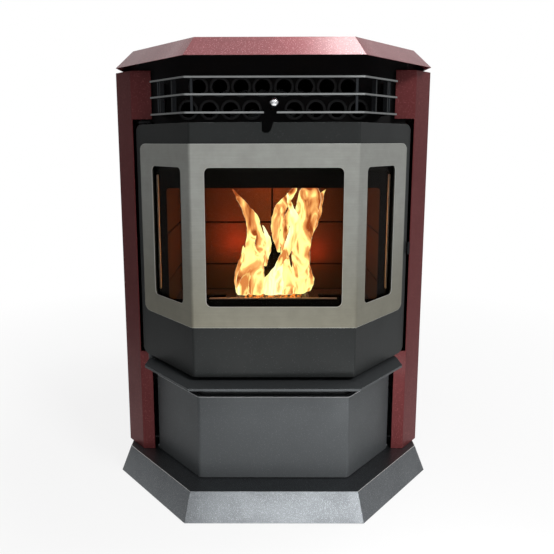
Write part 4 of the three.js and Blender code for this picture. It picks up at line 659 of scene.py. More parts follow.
def makeBrickWall(node, along, across, direction, bond):
    look = brickWork
    low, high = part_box(node)
    face, back = (low[across], high[across]) if direction > 0 else (high[across], low[across])

    def slab(name, start, end, depth, bottom, top):
        low3, high3 = [0, 0, bottom], [0, 0, top]
        low3[along], high3[along] = start, end
        low3[across], high3[across] = sorted((face + direction * depth, back))
        return addBlock(name, low3, high3)

    lumps = newLumps("brickLumps", 0.018)
    cutters = [makeChuteCutter()] if node == "firebrick_back" else []
    bricks = [slab("mortar", low[along], high[along], look["recess"], low.z, high.z)]
    bricks[0].data.materials.append(mortarFinish)
    for cutter in cutters:
        cutAway(bricks[0], cutter)
    levels = [low.z, *look["joints"], high.z]
    for row, (bottom, top) in enumerate(zip(levels, levels[1:])):
        start = bond - look["length"] * (4 + 0.5 * (row % 2))
        while start < high[along]:
            left = max(start + look["joint"] / 2, low[along])
            right = min(start + look["length"] - look["joint"] / 2, high[along])
            if right - left > look["shortest"]:
                brick = slab("brick", left, right, 0, bottom + look["joint"] / 2, top - look["joint"] / 2)
                for cutter in cutters:
                    cutAway(brick, cutter)
                softenEdges(brick, look["edge"], 2)
                pickFaces(brick, lambda side: abs(side.normal[across]) > 0.9)
                bpy.ops.mesh.subdivide(number_cuts=look["cuts"])
                leaveEdit()
                roughenShape(brick, lumps, look["rough"], 1.0)
                brick.data.materials.append(finishes["firebrick"])
                bricks.append(brick)
            start += look["length"]
    for cutter in cutters:
        dropPiece(cutter)
    wall = joinPieces(bricks, node + "_courses")
    finishPiece(wall, bodyOf[node], "firebrick", smooth=30)
    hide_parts(node)


for node, place in brickWork["walls"].items():
    makeBrickWall(node, *place)
print("brick walls:", len(brickWork["walls"]))


# heat exchanger: round tubes with rolled mouths between the face plate and the header

exchangerLook = {"radius": 0.0165, "wall": 0.0026, "ring": 0.0192, "ringDepth": 0.0027,
                 "rolled": 0.0009, "pitch": 0.04, "rows": {0.774: 0.02, 0.732: 0.04}, "count": 4, "sides": 32,
                 "header": 0.003}


def makeTube(x, z, front, rear):
    look = exchangerLook
    tube = addRod("tube", (x, front + 0.0004, z), (x, rear, z), look["radius"], look["sides"], "NOTHING")
    ring = addRod("ring", (x, front, z), (x, front + look["ringDepth"], z), look["ring"], look["sides"],
                  "NOTHING")
    useModifier(tube, "SOLIDIFY", thickness=look["wall"], offset=-1)
    useModifier(ring, "SOLIDIFY", thickness=look["ring"] - look["radius"] + look["wall"], offset=-1)
    softenEdges(ring, look["rolled"])
    for piece, finish in ((tube, finishes["stove_black"]), (ring, tubeMouth)):
        piece.data.materials.append(finish)
    return joinPieces([tube, ring], "tube")


def makeExchanger():
    look = exchangerLook
    low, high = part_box("heat_exchanger")
    header = addBlock("header", (low.x, high.y - look["header"], low.z), high)
    softenEdges(header, 0.0006)
    header.data.materials.append(finishes["stove_black"])
    pieces, holes = [], []
    for z, first in look["rows"].items():
        for step in range(look["count"]):
            for side in (-1, 1):
                x = side * (first + step * look["pitch"])
                pieces.append(makeTube(x, z, low.y, high.y))
                holes.append(addRod("hole", (x, high.y - 0.01, z), (x, high.y + 0.01, z),
                                    look["radius"] - look["wall"], look["sides"]))
    cutter = joinPieces(holes, "holes")
    cutAway(header, cutter)
    dropPiece(cutter)
    whole = joinPieces([header, *pieces], "heat_exchanger_tubes")
    finishPiece(whole, bodyOf["heat_exchanger"], "stove_black", smooth=35)
    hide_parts("heat_exchanger")
    print("heat exchanger tubes:", len(pieces))


makeExchanger()


# knob of the scraper: a turned ball on a grooved neck

knobLook = {"radius": 0.0085, "neck": 0.0052, "groove": 0.0036, "grooveHalf": 0.0007, "neckDepth": 0.0075}


def makeKnob():
    look = knobLook
    low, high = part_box("scraper_knob")
    centre = Vector((0, low.y + look["radius"], (low.z + high.z) / 2))
    bpy.ops.mesh.primitive_uv_sphere_add(segments=32, ring_count=18, radius=look["radius"],
                                         location=centre, rotation=(math.pi / 2, 0, 0))
    ball = bpy.context.object
    applyPlace(ball)
    neck = addRod("neck", centre, (0, high.y, centre.z), look["neck"])
    pickFaces(neck, lambda face: abs(face.normal.y) < 0.5)
    bpy.ops.mesh.subdivide(number_cuts=6)
    leaveEdit()
    groove = centre.y + look["neckDepth"]
    narrower = look["groove"] / look["neck"]
    for corner in neck.data.vertices:
        if abs(corner.co.y - groove) < look["grooveHalf"]:
            corner.co.x *= narrower
            corner.co.z = centre.z + (corner.co.z - centre.z) * narrower
    softenEdges(neck, 0.0004)
    knob = joinPieces([ball, neck], "scraper_knob_turned")
    finishPiece(knob, bodyOf["scraper_knob"], "chrome_knob", finishes["chrome_knob"], smooth=35)
    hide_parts("scraper_knob")


makeKnob()


# twisted rope in the door's seal

ropeSeal = {"strands": 3, "strandRadius": 0.0035, "twist": 0.0024, "flat": 1.6, "pitch": 0.02, "step": 0.0028,
            "corner": 0.012}


def sideways(degrees):
    return Vector((math.cos(math.radians(degrees)), 0, math.sin(math.radians(degrees))))


def sealPoint(distance, low, high, corner):
    width, height = high.x - low.x - 2 * corner, high.z - low.z - 2 * corner
    quarter = corner * math.pi / 2
    stretches = [(width, 0), (quarter, 0), (height, 90), (quarter, 90), (width, 180), (quarter, 180),
                 (height, 270), (quarter, 270)]
    place, turn = Vector((low.x + corner, 0, low.z)), 0
    for index, (length, heading) in enumerate(stretches):
        part = min(distance, length)
        if index % 2:
            turn = heading + math.degrees(part / corner)
            place = place - corner * sideways(heading - 90) + corner * sideways(turn - 90)
        else:
            turn = heading
            place = place + part * sideways(heading)
        distance -= part
        if distance <= 0:
            break
    return place, sideways(turn - 90)


def makeRopeSeal():
    look = ropeSeal
    low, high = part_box("door_gasket")
    inset = look["strandRadius"] + look["twist"]
    low, high = low + Vector((inset, 0, inset)), high - Vector((inset, 0, inset))
    depth = (low.y + high.y) / 2
    corner = look["corner"]
    total = 2 * (high.x - low.x + high.z - low.z) - 8 * corner + 2 * math.pi * corner
    turns = round(total / look["pitch"])
    count = round(total / look["step"])
    strands = []
    for strand in range(look["strands"]):
        curve = bpy.data.curves.new("strand", "CURVE")
        curve.dimensions = "3D"
        curve.bevel_depth = look["strandRadius"]
        curve.bevel_resolution = 1
        path = curve.splines.new("POLY")
        path.points.add(count - 1)
        path.use_cyclic_u = True
        for index, point in enumerate(path.points):
            share = index / count
            centre, outwards = sealPoint(share * total, low, high, corner)
            angle = 2 * math.pi * (share * turns + strand / look["strands"])
            across = look["twist"] * math.cos(angle) * outwards
            forwards = depth + look["flat"] * look["twist"] * math.sin(angle)
            point.co = (*(centre + across + Vector((0, forwards, 0))), 1)
        rope = bpy.data.objects.new("strand", curve)
        bpy.context.scene.collection.objects.link(rope)
        focusOn(rope)
        bpy.ops.object.convert(target="MESH")
        strands.append(bpy.context.object)
    seal = joinPieces(strands, "door_gasket_rope")
    focusOn(seal)
    bpy.ops.object.shade_smooth()
    finishPiece(seal, "door", "rope_seal", finishes["rope_seal"])
    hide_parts("door_gasket")
    print("rope seal strands:", look["strands"])


makeRopeSeal()


# sill and pale strips behind the door's glass

doorFittings = {
    "sill": [((-0.205, -0.1534, 0.3465), (0.205, -0.1514, 0.3688))],
    "strips": [((-0.125, -0.1537, 0.3686), (0.125, -0.1487, 0.3706)),
               ((-0.2195, -0.163, 0.392), (-0.2165, -0.1545, 0.612)),
               ((0.2165, -0.163, 0.392), (0.2195, -0.1545, 0.612))],
    "edge": 0.0005,
}


def makeDoorFitting(name, slot, finish):
    blocks = [addBlock(name, low, high) for low, high in doorFittings[name]]
    for block in blocks:
        softenEdges(block, doorFittings["edge"])
    finishPiece(joinPieces(blocks, "door_" + name), "door", slot, finish, smooth=35)


makeDoorFitting("sill", "stove_black", finishes["stove_black"])
makeDoorFitting("strips", "rope_seal", glassTape)
print("door fittings set")


# screws: one of each kind is shaped and then copied

def makeScrewModel(name, radius, height, socket):
    screw = addRod(name, (0, 0, 0), (0, 0, height), radius, 24)
    pickEdges(screw, lambda a, b: a.z > 0.9 * height and b.z > 0.9 * height)
    bpy.ops.mesh.bevel(offset=0.35 * height, segments=3)
    leaveEdit()
    half = 0.13 * radius
    for across, along in ((socket, half), (half, socket)):
        slot = addBlock("slot", (-across, -along, 0.45 * height), (across, along, 1.2 * height))
        cutAway(screw, slot)
        dropPiece(slot)
    shadeByAngle(screw, 35)
    return screw


def placeScrews(model, name, body, slot, finish, places):
    copies = []
    for index, (place, direction, spin) in enumerate(places):
        screw = copyPiece(model, f"{name}_{index}")
        turn = Vector(direction).to_track_quat("Z", "Y").to_matrix().to_4x4()
        screw.matrix_world = Matrix.Translation(place) @ turn @ Matrix.Rotation(spin, 4, "Z")
        applyPlace(screw)
        copies.append(screw)
    finishPiece(joinPieces(copies, name), body, slot, finish)


screwLook = {  # radius, height and half length of the slots of each kind, and where they sit
    "small": (0.0031, 0.0017, 0.0019), "large": (0.0044, 0.0024, 0.0028),
    "inset": 0.012, "rows": (0.075, 0.22, 0.365, 0.51, 0.655, 0.79), "low": 0.068,
    "columns": (-0.15, 0, 0.15),
    "collarReach": 0.0495, "collarLift": 0.0033, "gapX": 0.2345, "gapRows": (0.289, 0.302, 0.361, 0.418),
    "clipX": 0.231, "clipRows": (0.322, 0.642), "panelInset": 0.008,
}


def rearScrewPlaces():
    look = screwLook
    low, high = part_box("rear_panel")
    edges = [((x, high.y, z), (0, 1, 0), 0.4 * row) for x in (low.x + look["inset"], high.x - look["inset"])
             for row, z in enumerate(look["rows"])]
    feet = [((x, high.y, look["low"]), (0, 1, 0), 0.7 * place) for place, x in enumerate(look["columns"])]
    return edges + feet


def collarScrewPlaces():
    low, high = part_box("flue_outlet")
    centre = Vector(((low.x + high.x) / 2, 0, (low.z + high.z) / 2))
    face = Vector((0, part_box("rear_panel")[1].y + screwLook["collarLift"], 0))
    return [(centre + face + screwLook["collarReach"] * sideways(45 + 90 * step), (0, 1, 0),
             math.radians(45 + 90 * step)) for step in range(4)]


def panelScrewPlaces():
    low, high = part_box("control_panel")
    inset = screwLook["panelInset"]
    return [((high.x, y, z), (1, 0, 0), y) for y in (low.y + inset, high.y - inset)
            for z in (low.z + inset, high.z - inset)]


def makeScrews():
    look = screwLook
    small = makeScrewModel("smallScrew", *look["small"])
    large = makeScrewModel("largeScrew", *look["large"])
    zinc, black = finishes["zinc_sheet"], finishes["stove_black"]
    placeScrews(small, "rear_screws", "cabinet", "zinc_sheet", zinc, rearScrewPlaces())
    placeScrews(large, "flue_screws", "cabinet", "zinc_sheet", zinc, collarScrewPlaces())
    facePlate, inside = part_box("firebox_shell")[0].y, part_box("door_frame")[1].y
    gap = [((look["gapX"], facePlate, z), (0, -1, 0), z) for z in look["gapRows"]]
    # the screw heads in the gap take the bright edge metal: a painted glint
    placeScrews(small, "face_screws", "cabinet", "zinc_sheet", brightEdge, gap)
    clips = [((side * look["clipX"], inside, z), (0, 1, 0), z) for side in (-1, 1) for z in look["clipRows"]]
    placeScrews(small, "door_screws", "door", "stove_black", zinc, clips)
    placeScrews(small, "panel_screws", "cabinet", "black_plastic", black, panelScrewPlaces())
    dropPiece(small)
    dropPiece(large)
    print("screws set")


makeScrews()


# fittings at the back: louvre hoods, flue, air intake, pins of the inlet

backLook = {
    "louvres": {"rows": 10, "first": 0.503, "pitch": 0.018, "half": 0.119, "depth": 0.0036, "tall": 0.0075},
    "vents": {"rows": 6, "first": 0.5625, "pitch": 0.016, "near": -0.2, "far": -0.06, "depth": 0.0028,
              "tall": 0.0066},
    "hood": {"sheet": 0.0006, "slope": 0.0028, "edge": 0.0002},
    "flue": {"radius": 0.04, "wall": 0.0012, "sides": 48, "bead": 0.0408, "beadAt": (0.318, 0.3216),
             "collar": 0.058, "collarDepth": 0.003},
    "intake": {"radius": 0.025, "wall": 0.0014, "sides": 40, "bead": 0.0256, "beadAt": (0.3115, 0.314)},
    "mesh": {"wires": 3, "pitch": 0.0065, "radius": 0.0006, "inside": 0.006, "over": 0.001, "gap": 0.0004},
    "pins": {"places": ((-0.007, -0.002), (0, 0.003), (0.007, -0.002)), "half": (0.001, 0.002),
             "reach": (0.016, 0.0035)},
}


def makeHood(start, end, out, depth, tall):
    look = backLook["hood"]
    low = [min(a, b) for a, b in zip(start, end)]
    high = [max(a, b) for a, b in zip(start, end)]
    axis = 0 if out.x else 1
    low[axis], high[axis] = sorted((start[axis] - look["sheet"] * out[axis], start[axis] + depth * out[axis]))
    low[2], high[2] = start[2] - tall / 2, start[2] + tall / 2
    hood = addBlock("hood", low, high)
    pickFaces(hood, lambda face: face.normal.z < -0.5)
    bpy.ops.mesh.delete(type="FACE")
    leaveEdit()
    for corner in hood.data.vertices:
        if (corner.co[axis] - start[axis]) * out[axis] > 0 and corner.co.z > start[2]:
            corner.co[axis] -= look["slope"] * out[axis]
    useModifier(hood, "SOLIDIFY", thickness=look["sheet"], offset=-1)
    softenEdges(hood, look["edge"], 1)
    return hood


def stackHoods(name, hood, look, slot):
    rows = [hood] + [copyPiece(hood, "hood", (0, 0, row * look["pitch"])) for row in range(1, look["rows"])]
    finishPiece(joinPieces(rows, name), "cabinet", slot, finishes[slot], smooth=30)


def makeHoods():
    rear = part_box("rear_panel")[1].y
    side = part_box("left_side_panel")[0].x
    look = backLook["louvres"]
    hood = makeHood((-look["half"], rear, look["first"]), (look["half"], rear, look["first"]),
                    Vector((0, 1, 0)), look["depth"], look["tall"])
    stackHoods("rear_louvre_hoods", hood, look, "zinc_sheet")
    look = backLook["vents"]
    hood = makeHood((side, rear + look["near"], look["first"]), (side, rear + look["far"], look["first"]),
                    Vector((-1, 0, 0)), look["depth"], look["tall"])
    stackHoods("left_vent_hoods", hood, look, "burgundy_paint")


def makePipe(name, x, z, look, start, end):
    pieces = []
    for label, radius, (near, far), wall, edge, steps in (
            ("tube", look["radius"], (start, end), look["wall"], 0.0003, 1),
            ("bead", look["bead"], look["beadAt"], 0.0014, 0.0006, 3)):
        piece = addRod(label, (x, near, z), (x, far, z), radius, look["sides"], "NOTHING")
        useModifier(piece, "SOLIDIFY", thickness=wall, offset=-1)
        softenEdges(piece, edge, steps)
        pieces.append(piece)
    return joinPieces(pieces, name)


def makeCollar(x, z, look):
    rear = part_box("rear_panel")[1].y
    collar = addRod("collar", (x, rear, z), (x, rear + look["collarDepth"], z), look["collar"], look["sides"])
    softenEdges(collar, 0.0008)
    bore = look["radius"] - look["wall"]
    hole = addRod("hole", (x, rear - 0.01, z), (x, rear + 0.01, z), bore, look["sides"])
    cutAway(collar, hole)
    dropPiece(hole)
    return collar


def makeMesh(x, z, rear):
    look = backLook["mesh"]
    at = rear - look["inside"]
    over = at + look["over"]
    wires = []
    for step in range(-look["wires"], look["wires"] + 1):
        off = look["pitch"] * step
        reach = math.sqrt(backLook["intake"]["radius"] ** 2 - off ** 2) - look["gap"]
        for start, end in (((x + off, at, z - reach), (x + off, at, z + reach)),
                           ((x - reach, over, z + off), (x + reach, over, z + off))):
            wires.append(addRod("wire", start, end, look["radius"], 8))
    return wires


def makeBackPipes():
    for node, kind, name in (("flue_outlet", "flue", "flue_pipe"),
                             ("air_intake", "intake", "air_intake_pipe")):
        look = backLook[kind]
        low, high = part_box(node)
        x, z = (low.x + high.x) / 2, (low.z + high.z) / 2
        pipe = makePipe(kind, x, z, look, low.y, high.y)
        more = [makeCollar(x, z, look)] if kind == "flue" else makeMesh(x, z, high.y)
        whole = joinPieces([pipe, *more], name)
        finishPiece(whole, bodyOf[node], slotOf[node], finishes["zinc_sheet"], smooth=32)
        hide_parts(node)


def makeInletPins():
    look = backLook["pins"]
    low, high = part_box("power_inlet")
    middle = (low + high) / 2
    wide, tall = look["half"]
    pins = []
    for x, z in look["places"]:
        pin = addBlock("pin", (middle.x + x - wide, high.y - look["reach"][0], middle.z + z - tall),
                       (middle.x + x + wide, high.y - look["reach"][1], middle.z + z + tall))
        softenEdges(pin, 0.0004)
        pins.append(pin)
    finishPiece(joinPieces(pins, "inlet_pins"), bodyOf["power_inlet"], "zinc_sheet", brightEdge, smooth=32)


makeHoods()
makeBackPipes()
makeInletPins()
print("back fittings set")


# control panel: signs on the buttons and lit digits in the window

signLook = {
    "lift": 0.0003, "line": 0.0011, "half": 0.0034, "modeRows": (-0.0026, 0, 0.0026),
    "digit": (0.0105, 0.019), "space": 0.0065, "first": -0.0135, "gap": 0.0011, "bar": 0.0021,
    # radius, first and last angle, steps
    "arc": (0.0032, 125, 415, 14), "dial": (0.0036, 0, 360, 18), "ring": (0.0018, 0, 360, 10),
    "glow": (1.0, 0.22, 0.03), "glowEdge": (0.8, 0.16, 0.02),
}
segments = {"a": ((0, 1), (1, 1)), "b": ((1, 0.5), (1, 1)), "c": ((1, 0), (1, 0.5)), "d": ((0, 0), (1, 0)),
            "e": ((0, 0), (0, 0.5)), "g": ((0, 0.5), (1, 0.5))}
shownDigits = {"7": "abc", "2": "abged"}


def addLine(x, start, end, width):
    start, end = Vector((0, *start)), Vector((0, *end))
    along = end - start
    bpy.ops.mesh.primitive_cube_add(size=1)
    line = bpy.context.object
    line.scale = (signLook["lift"], along.length, width)
    applyPlace(line)
    line.rotation_euler = (math.atan2(along.z, along.y), 0, 0)
    line.location = (x, *((start + end) / 2).yz)
    applyPlace(line)
    softenEdges(line, 0.0001, 1)
    return line


def makeArc(x, y, z, radius, first, last, steps):
    angles = [math.radians(first + (last - first) * step / steps) for step in range(steps + 1)]
    points = [(y + radius * math.cos(angle), z + radius * math.sin(angle)) for angle in angles]
    return [addLine(x, start, end, signLook["line"]) for start, end in zip(points, points[1:])]


def makeButtonSigns():
    line, half = signLook["line"], signLook["half"]
    for node in ("button_power", "button_up", "button_down", "button_mode", "button_timer"):
        low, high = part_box(node)
        x, y, z = high.x + signLook["lift"] / 2 - 0.0001, (low.y + high.y) / 2, (low.z + high.z) / 2
        if node == "button_power":
            marks = makeArc(x, y, z, *signLook["arc"])
            strokes = [((0, 0.0008), (0, 0.0042))]
        elif node == "button_timer":
            marks = makeArc(x, y, z, *signLook["dial"])
            strokes = [((0, 0), (0, 0.0026)), ((0, 0), (0.0019, 0))]
        elif node == "button_mode":
            marks = []
            strokes = [((-half, row), (half, row)) for row in signLook["modeRows"]]
        else:
            marks = []
            way = 1 if node == "button_up" else -1
            strokes = [((side * half, -way * 0.0018), (0, way * 0.0022)) for side in (-1, 1)]
        for start, end in strokes:
            marks.append(addLine(x, (y + start[0], z + start[1]), (y + end[0], z + end[1]), line))
        sign = joinPieces(marks, node + "_sign")
        finishPiece(sign, bodyOf[node], "black_plastic", finishes["black_plastic"])


def makeDigits():
    low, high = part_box("display_window")
    wide, tall = signLook["digit"]
    x = high.x + 0.0001
    glow, tree, into = newMaterial("litDigit", Roughness=0.5, Emission_Strength=2.5)
    patches = addNode(tree, "TexNoise", Vector=objectPoint(tree), Scale=900.0).outputs["Fac"]
    shine = ramp(tree, patches, (0.3, signLook["glowEdge"]), (0.6, signLook["glow"]))
    tree.links.new(shine, into["Emission Color"])
    into["Base Color"].default_value = (0.1, 0.02, 0.01, 1)
    bars = []
    for place, digit in enumerate("72"):
        y = (low.y + high.y) / 2 + signLook["first"] + place * (wide + signLook["space"])
        z = (low.z + high.z) / 2 - tall / 2
        for name in shownDigits[digit]:
            (startY, startZ), (endY, endZ) = segments[name]
            start = Vector((y + startY * wide, z + startZ * tall))
            end = Vector((y + endY * wide, z + endZ * tall))
            gap = signLook["gap"] * (end - start).normalized()
            bars.append(addLine(x, start + gap, end - gap, signLook["bar"]))
    ring = makeArc(x, y + wide + 0.006, z + tall - 0.002, *signLook["ring"])
    digits = joinPieces(bars + ring, "display_digits")
    finishPiece(digits, bodyOf["display_window"], slotOf["display_window"], glow)


makeButtonSigns()
makeDigits()
print("signs and digits set")


# what the stove holds: pellets in the hopper, embers in the pot, ash in the pan

fillLook = {
    "pellet": {"radius": 0.003, "length": 0.017, "clump": 46, "clumps": (7, 3), "level": 0.788, "wall": 0.008,
               "wave": 0.003, "bedWall": 0.004, "bedTop": 0.0015, "bedDepth": 0.02},
    "ember": {"count": 34, "wall": 0.022, "sunk": 0.013, "sizes": (0.006, 0.0095), "rough": 0.005},
    "ash": {"level": 0.083, "rough": 0.012, "back": 0.02, "grid": (36, 32), "gap": (0.01, 0.07)},
}
pelletLook = {"colour": (0.42, 0.25, 0.12), "dark": (0.28, 0.15, 0.07), "pale": (0.55, 0.36, 0.19),
              "cloudScale": 220.0, "pitScale": 900.0}
ashLook = {"colour": (0.3, 0.29, 0.27), "dark": (0.16, 0.155, 0.145), "pale": (0.46, 0.45, 0.43),
           "cloudScale": 90.0, "pitScale": 800.0}


def makePellets():
    look = fillLook["pellet"]
    low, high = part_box("hopper")
    wall, bedWall = look["wall"], look["bedWall"]
    columns, rows = look["clumps"]
    wide = (high.x - low.x - 2 * wall) / columns
    deep = (high.y - low.y - 2 * wall) / rows
    chance = random.Random(7)
    model = addRod("pellet", (0, 0, -look["length"] / 2), (0, 0, look["length"] / 2), look["radius"], 8)
    pieces = []
    for _ in range(look["clump"]):
        pellet = copyPiece(model, "pellet")
        spin = Matrix.Rotation(chance.uniform(0, math.pi), 4, "Z")
        lie = Matrix.Rotation(chance.uniform(1.2, 1.75), 4, "X")
        place = Vector((chance.uniform(0.008, wide - 0.006), chance.uniform(0.008, deep - 0.006),
                        chance.uniform(-0.004, 0.004)))
        pellet.matrix_world = Matrix.Translation(place) @ spin @ lie
        applyPlace(pellet)
        pieces.append(pellet)
    dropPiece(model)
    clump = joinPieces(pieces, "clump")
    clump.location = (low.x + wall, low.y + wall, look["level"])
    applyPlace(clump)
    heap = addBlock("bed", (low.x + bedWall, low.y + bedWall, look["level"] - look["bedDepth"]),
                    (high.x - bedWall, high.y - bedWall, look["level"] - look["bedTop"]))
    softenEdges(heap, 0.001)
    moves = [(column * wide, row * deep, look["wave"] * ((column + row) % 3 - 1))
             for column in range(columns) for row in range(rows) if column or row]
    whole = joinPieces([heap, clump] + [copyPiece(clump, "clump", move) for move in moves], "hopper_pellets")
    finishPiece(whole, bodyOf["hopper"], "rope_seal", brickFinish("pellets", pelletLook), smooth=40)
    print("pellets:", look["clump"] * columns * rows)


def emberFinish():
    material, tree, into = newMaterial("ember", Roughness=0.9, Emission_Strength=1.6)
    veins = addNode(tree, "TexNoise", Vector=objectPoint(tree), Scale=160.0, Detail=4.0).outputs["Fac"]
    crust = ramp(tree, veins, (0.42, (0.02, 0.017, 0.015)), (0.6, (0.12, 0.1, 0.09)))
    heat = ramp(tree, veins, (0.46, (0.9, 0.25, 0.03)), (0.56, (0.0, 0.0, 0.0)))
    tree.links.new(crust, into["Base Color"])
    tree.links.new(heat, into["Emission Color"])
    return material


def makeEmbers():
    look = fillLook["ember"]
    low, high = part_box("burn_pot")
    wall = look["wall"]
    chance = random.Random(11)
    lumps = newLumps("emberLumps", 0.01)
    stones = []
    for _ in range(look["count"]):
        place = (chance.uniform(low.x + wall, high.x - wall), chance.uniform(low.y + wall, high.y - wall),
                 high.z - look["sunk"] + chance.uniform(-0.004, 0.003))
        bpy.ops.mesh.primitive_ico_sphere_add(subdivisions=2, radius=chance.uniform(*look["sizes"]),
                                              location=place)
        stone = bpy.context.object
        stone.scale = (1, chance.uniform(0.7, 1.0), chance.uniform(0.6, 0.9))
        applyPlace(stone)
        roughenShape(stone, lumps, look["rough"])
        stones.append(stone)
    finishPiece(joinPieces(stones, "pot_embers"), "pot", "cast_iron", emberFinish(), smooth=45)


def makeAsh():
    low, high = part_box("ash_pan")
    look = fillLook["ash"]
    middle = (low + high) / 2
    bpy.ops.mesh.primitive_grid_add(x_subdivisions=look["grid"][0], y_subdivisions=look["grid"][1], size=1,
                                    location=(middle.x, middle.y + look["back"], look["level"]))
    ash = bpy.context.object
    ash.name = "pan_ash"
    ash.scale = (high.x - low.x - look["gap"][0], high.y - low.y - look["gap"][1], 1)
    applyPlace(ash)
    roughenShape(ash, newLumps("ashLumps", 0.035), look["rough"])
    finishPiece(ash, bodyOf["ash_pan"], "firebrick", brickFinish("ash", ashLook), smooth=60)


makePellets()
makeEmbers()
makeAsh()


# flames over the pot

flameLook = {
    "body": "pot", "depth": -0.046, "sides": 12, "flat": 0.42, "steps": 4, "lumps": 0.02, "rough": 0.007,
    "sway": 0.0035, "thinnest": 0.0006,
    "finishes": {
        "Body": {"strength": 2.0, "stops": [
            (0.33, (0.24, 0.05, 0.01)), (0.41, (0.6, 0.24, 0.07)), (0.47, (0.74, 0.4, 0.13)),
            (0.51, (0.84, 0.78, 0.26)), (0.57, (0.86, 0.86, 0.34)), (0.62, (0.84, 0.76, 0.26)),
            (0.66, (0.7, 0.34, 0.1)), (0.72, (0.42, 0.12, 0.03))]},
        "Hot": {"strength": 2.1, "stops": [
            (0.36, (0.5, 0.18, 0.05)), (0.42, (0.8, 0.6, 0.2)), (0.48, (0.88, 0.86, 0.34)),
            (0.58, (0.93, 0.96, 0.56)), (0.67, (0.88, 0.84, 0.36)), (0.73, (0.6, 0.26, 0.07))]},
    },
    "hot": ("stream", "low_middle", "wisp_left", "front_left"),
    "tongues": {  # (across, height, half width) up the middle of each, in millimetres; depth before or behind
        "main_left": (0, [(-58, 352, 20), (-54, 378, 25), (-49, 410, 21), (-47, 440, 14), (-46, 466, 10),
                          (-40, 492, 15), (-44, 518, 16), (-60, 545, 8), (-76, 566, 5), (-84, 576, 1)]),
        "outer_left": (6, [(-70, 356, 8), (-74, 384, 9), (-68, 412, 8), (-61, 436, 6), (-62, 456, 1)]),
        "inner_left": (-8, [(-36, 352, 15), (-34, 386, 17), (-30, 422, 13), (-25, 452, 13), (-26, 480, 9),
                            (-27, 508, 1)]),
        "wisp_left": (8, [(-16, 410, 4), (-13, 438, 7), (-10, 462, 8), (-14, 484, 5), (-21, 500, 1)]),
        "main_right": (2, [(56, 352, 18), (58, 386, 20), (60, 424, 20), (61, 460, 21), (66, 494, 23),
                           (72, 526, 26), (76, 552, 26), (78, 574, 20), (80, 584, 8)]),
        "bulge_right": (10, [(66, 462, 5), (84, 494, 8), (95, 520, 9), (97, 548, 8), (104, 566, 4),
                             (112, 574, 1)]),
        "arch_middle": (6, [(14, 440, 4), (8, 470, 8), (8, 502, 12), (17, 534, 14), (33, 558, 11),
                            (46, 578, 5)]),
        "stream": (-12, [(-26, 362, 5), (-10, 390, 6), (12, 418, 8), (30, 448, 10), (42, 480, 11),
                         (46, 514, 9), (36, 544, 6), (30, 570, 1)]),
        "low_middle": (-4, [(2, 352, 24), (4, 372, 22), (8, 394, 13), (16, 414, 6), (22, 428, 1)]),
        "low_right": (8, [(72, 354, 10), (78, 378, 11), (76, 402, 8), (72, 430, 6), (78, 450, 1)]),
        "front_left": (-14, [(-64, 354, 12), (-62, 374, 12), (-54, 394, 7), (-47, 410, 1)]),
        "inner_right": (-2, [(30, 352, 15), (32, 384, 14), (30, 414, 10), (25, 440, 7), (20, 466, 5),
                             (16, 488, 1)]),
        "curl_middle": (12, [(20, 400, 5), (26, 430, 8), (22, 462, 7), (27, 492, 9), (36, 522, 8),
                             (40, 546, 2)]),
    },
}


def flameFinish(name, stops, strength):
    material, tree, into = newMaterial(
        name, Roughness=1.0, Specular_IOR_Level=0.0, Emission_Strength=strength)
    into["Base Color"].default_value = (0, 0, 0, 1)
    place = addNode(tree, "Mapping", Vector=objectPoint(tree), Scale=(1, 1, 0.4)).outputs["Vector"]
    licks = addNode(tree, "TexNoise", Vector=place, Scale=30.0, Detail=2.0, Roughness=0.5, Distortion=1.3)
    # paler low down, more orange towards the tips
    cooler = calculate(tree, "MULTIPLY_ADD", objectAxis(tree, "Z"), -0.55, 0.235)
    body = ramp(tree, calculate(tree, "ADD", licks.outputs["Fac"], cooler), *stops)
    facing = addNode(tree, "LayerWeight", Blend=0.5).outputs["Facing"]
    rim = mapRange(tree, facing, 0.62, 0.9, 0.0, 0.85, "SMOOTHSTEP")
    tree.links.new(mixColours(tree, rim, body, (0.95, 0.96, 0.6)), into["Emission Color"])
    return material


def smoothPath(points, steps):
    path = []
    for index in range(len(points) - 1):
        before = Vector(points[max(index - 1, 0)])
        start, end = Vector(points[index]), Vector(points[index + 1])
        after = Vector(points[min(index + 2, len(points) - 1)])
        for step in range(steps):
            t = step / steps
            square, cube = 2 * before - 5 * start + 4 * end - after, 3 * start - before - 3 * end + after
            path.append(0.5 * (2 * start + (end - before) * t + square * t * t + cube * t ** 3))
    return path + [Vector(points[-1])]


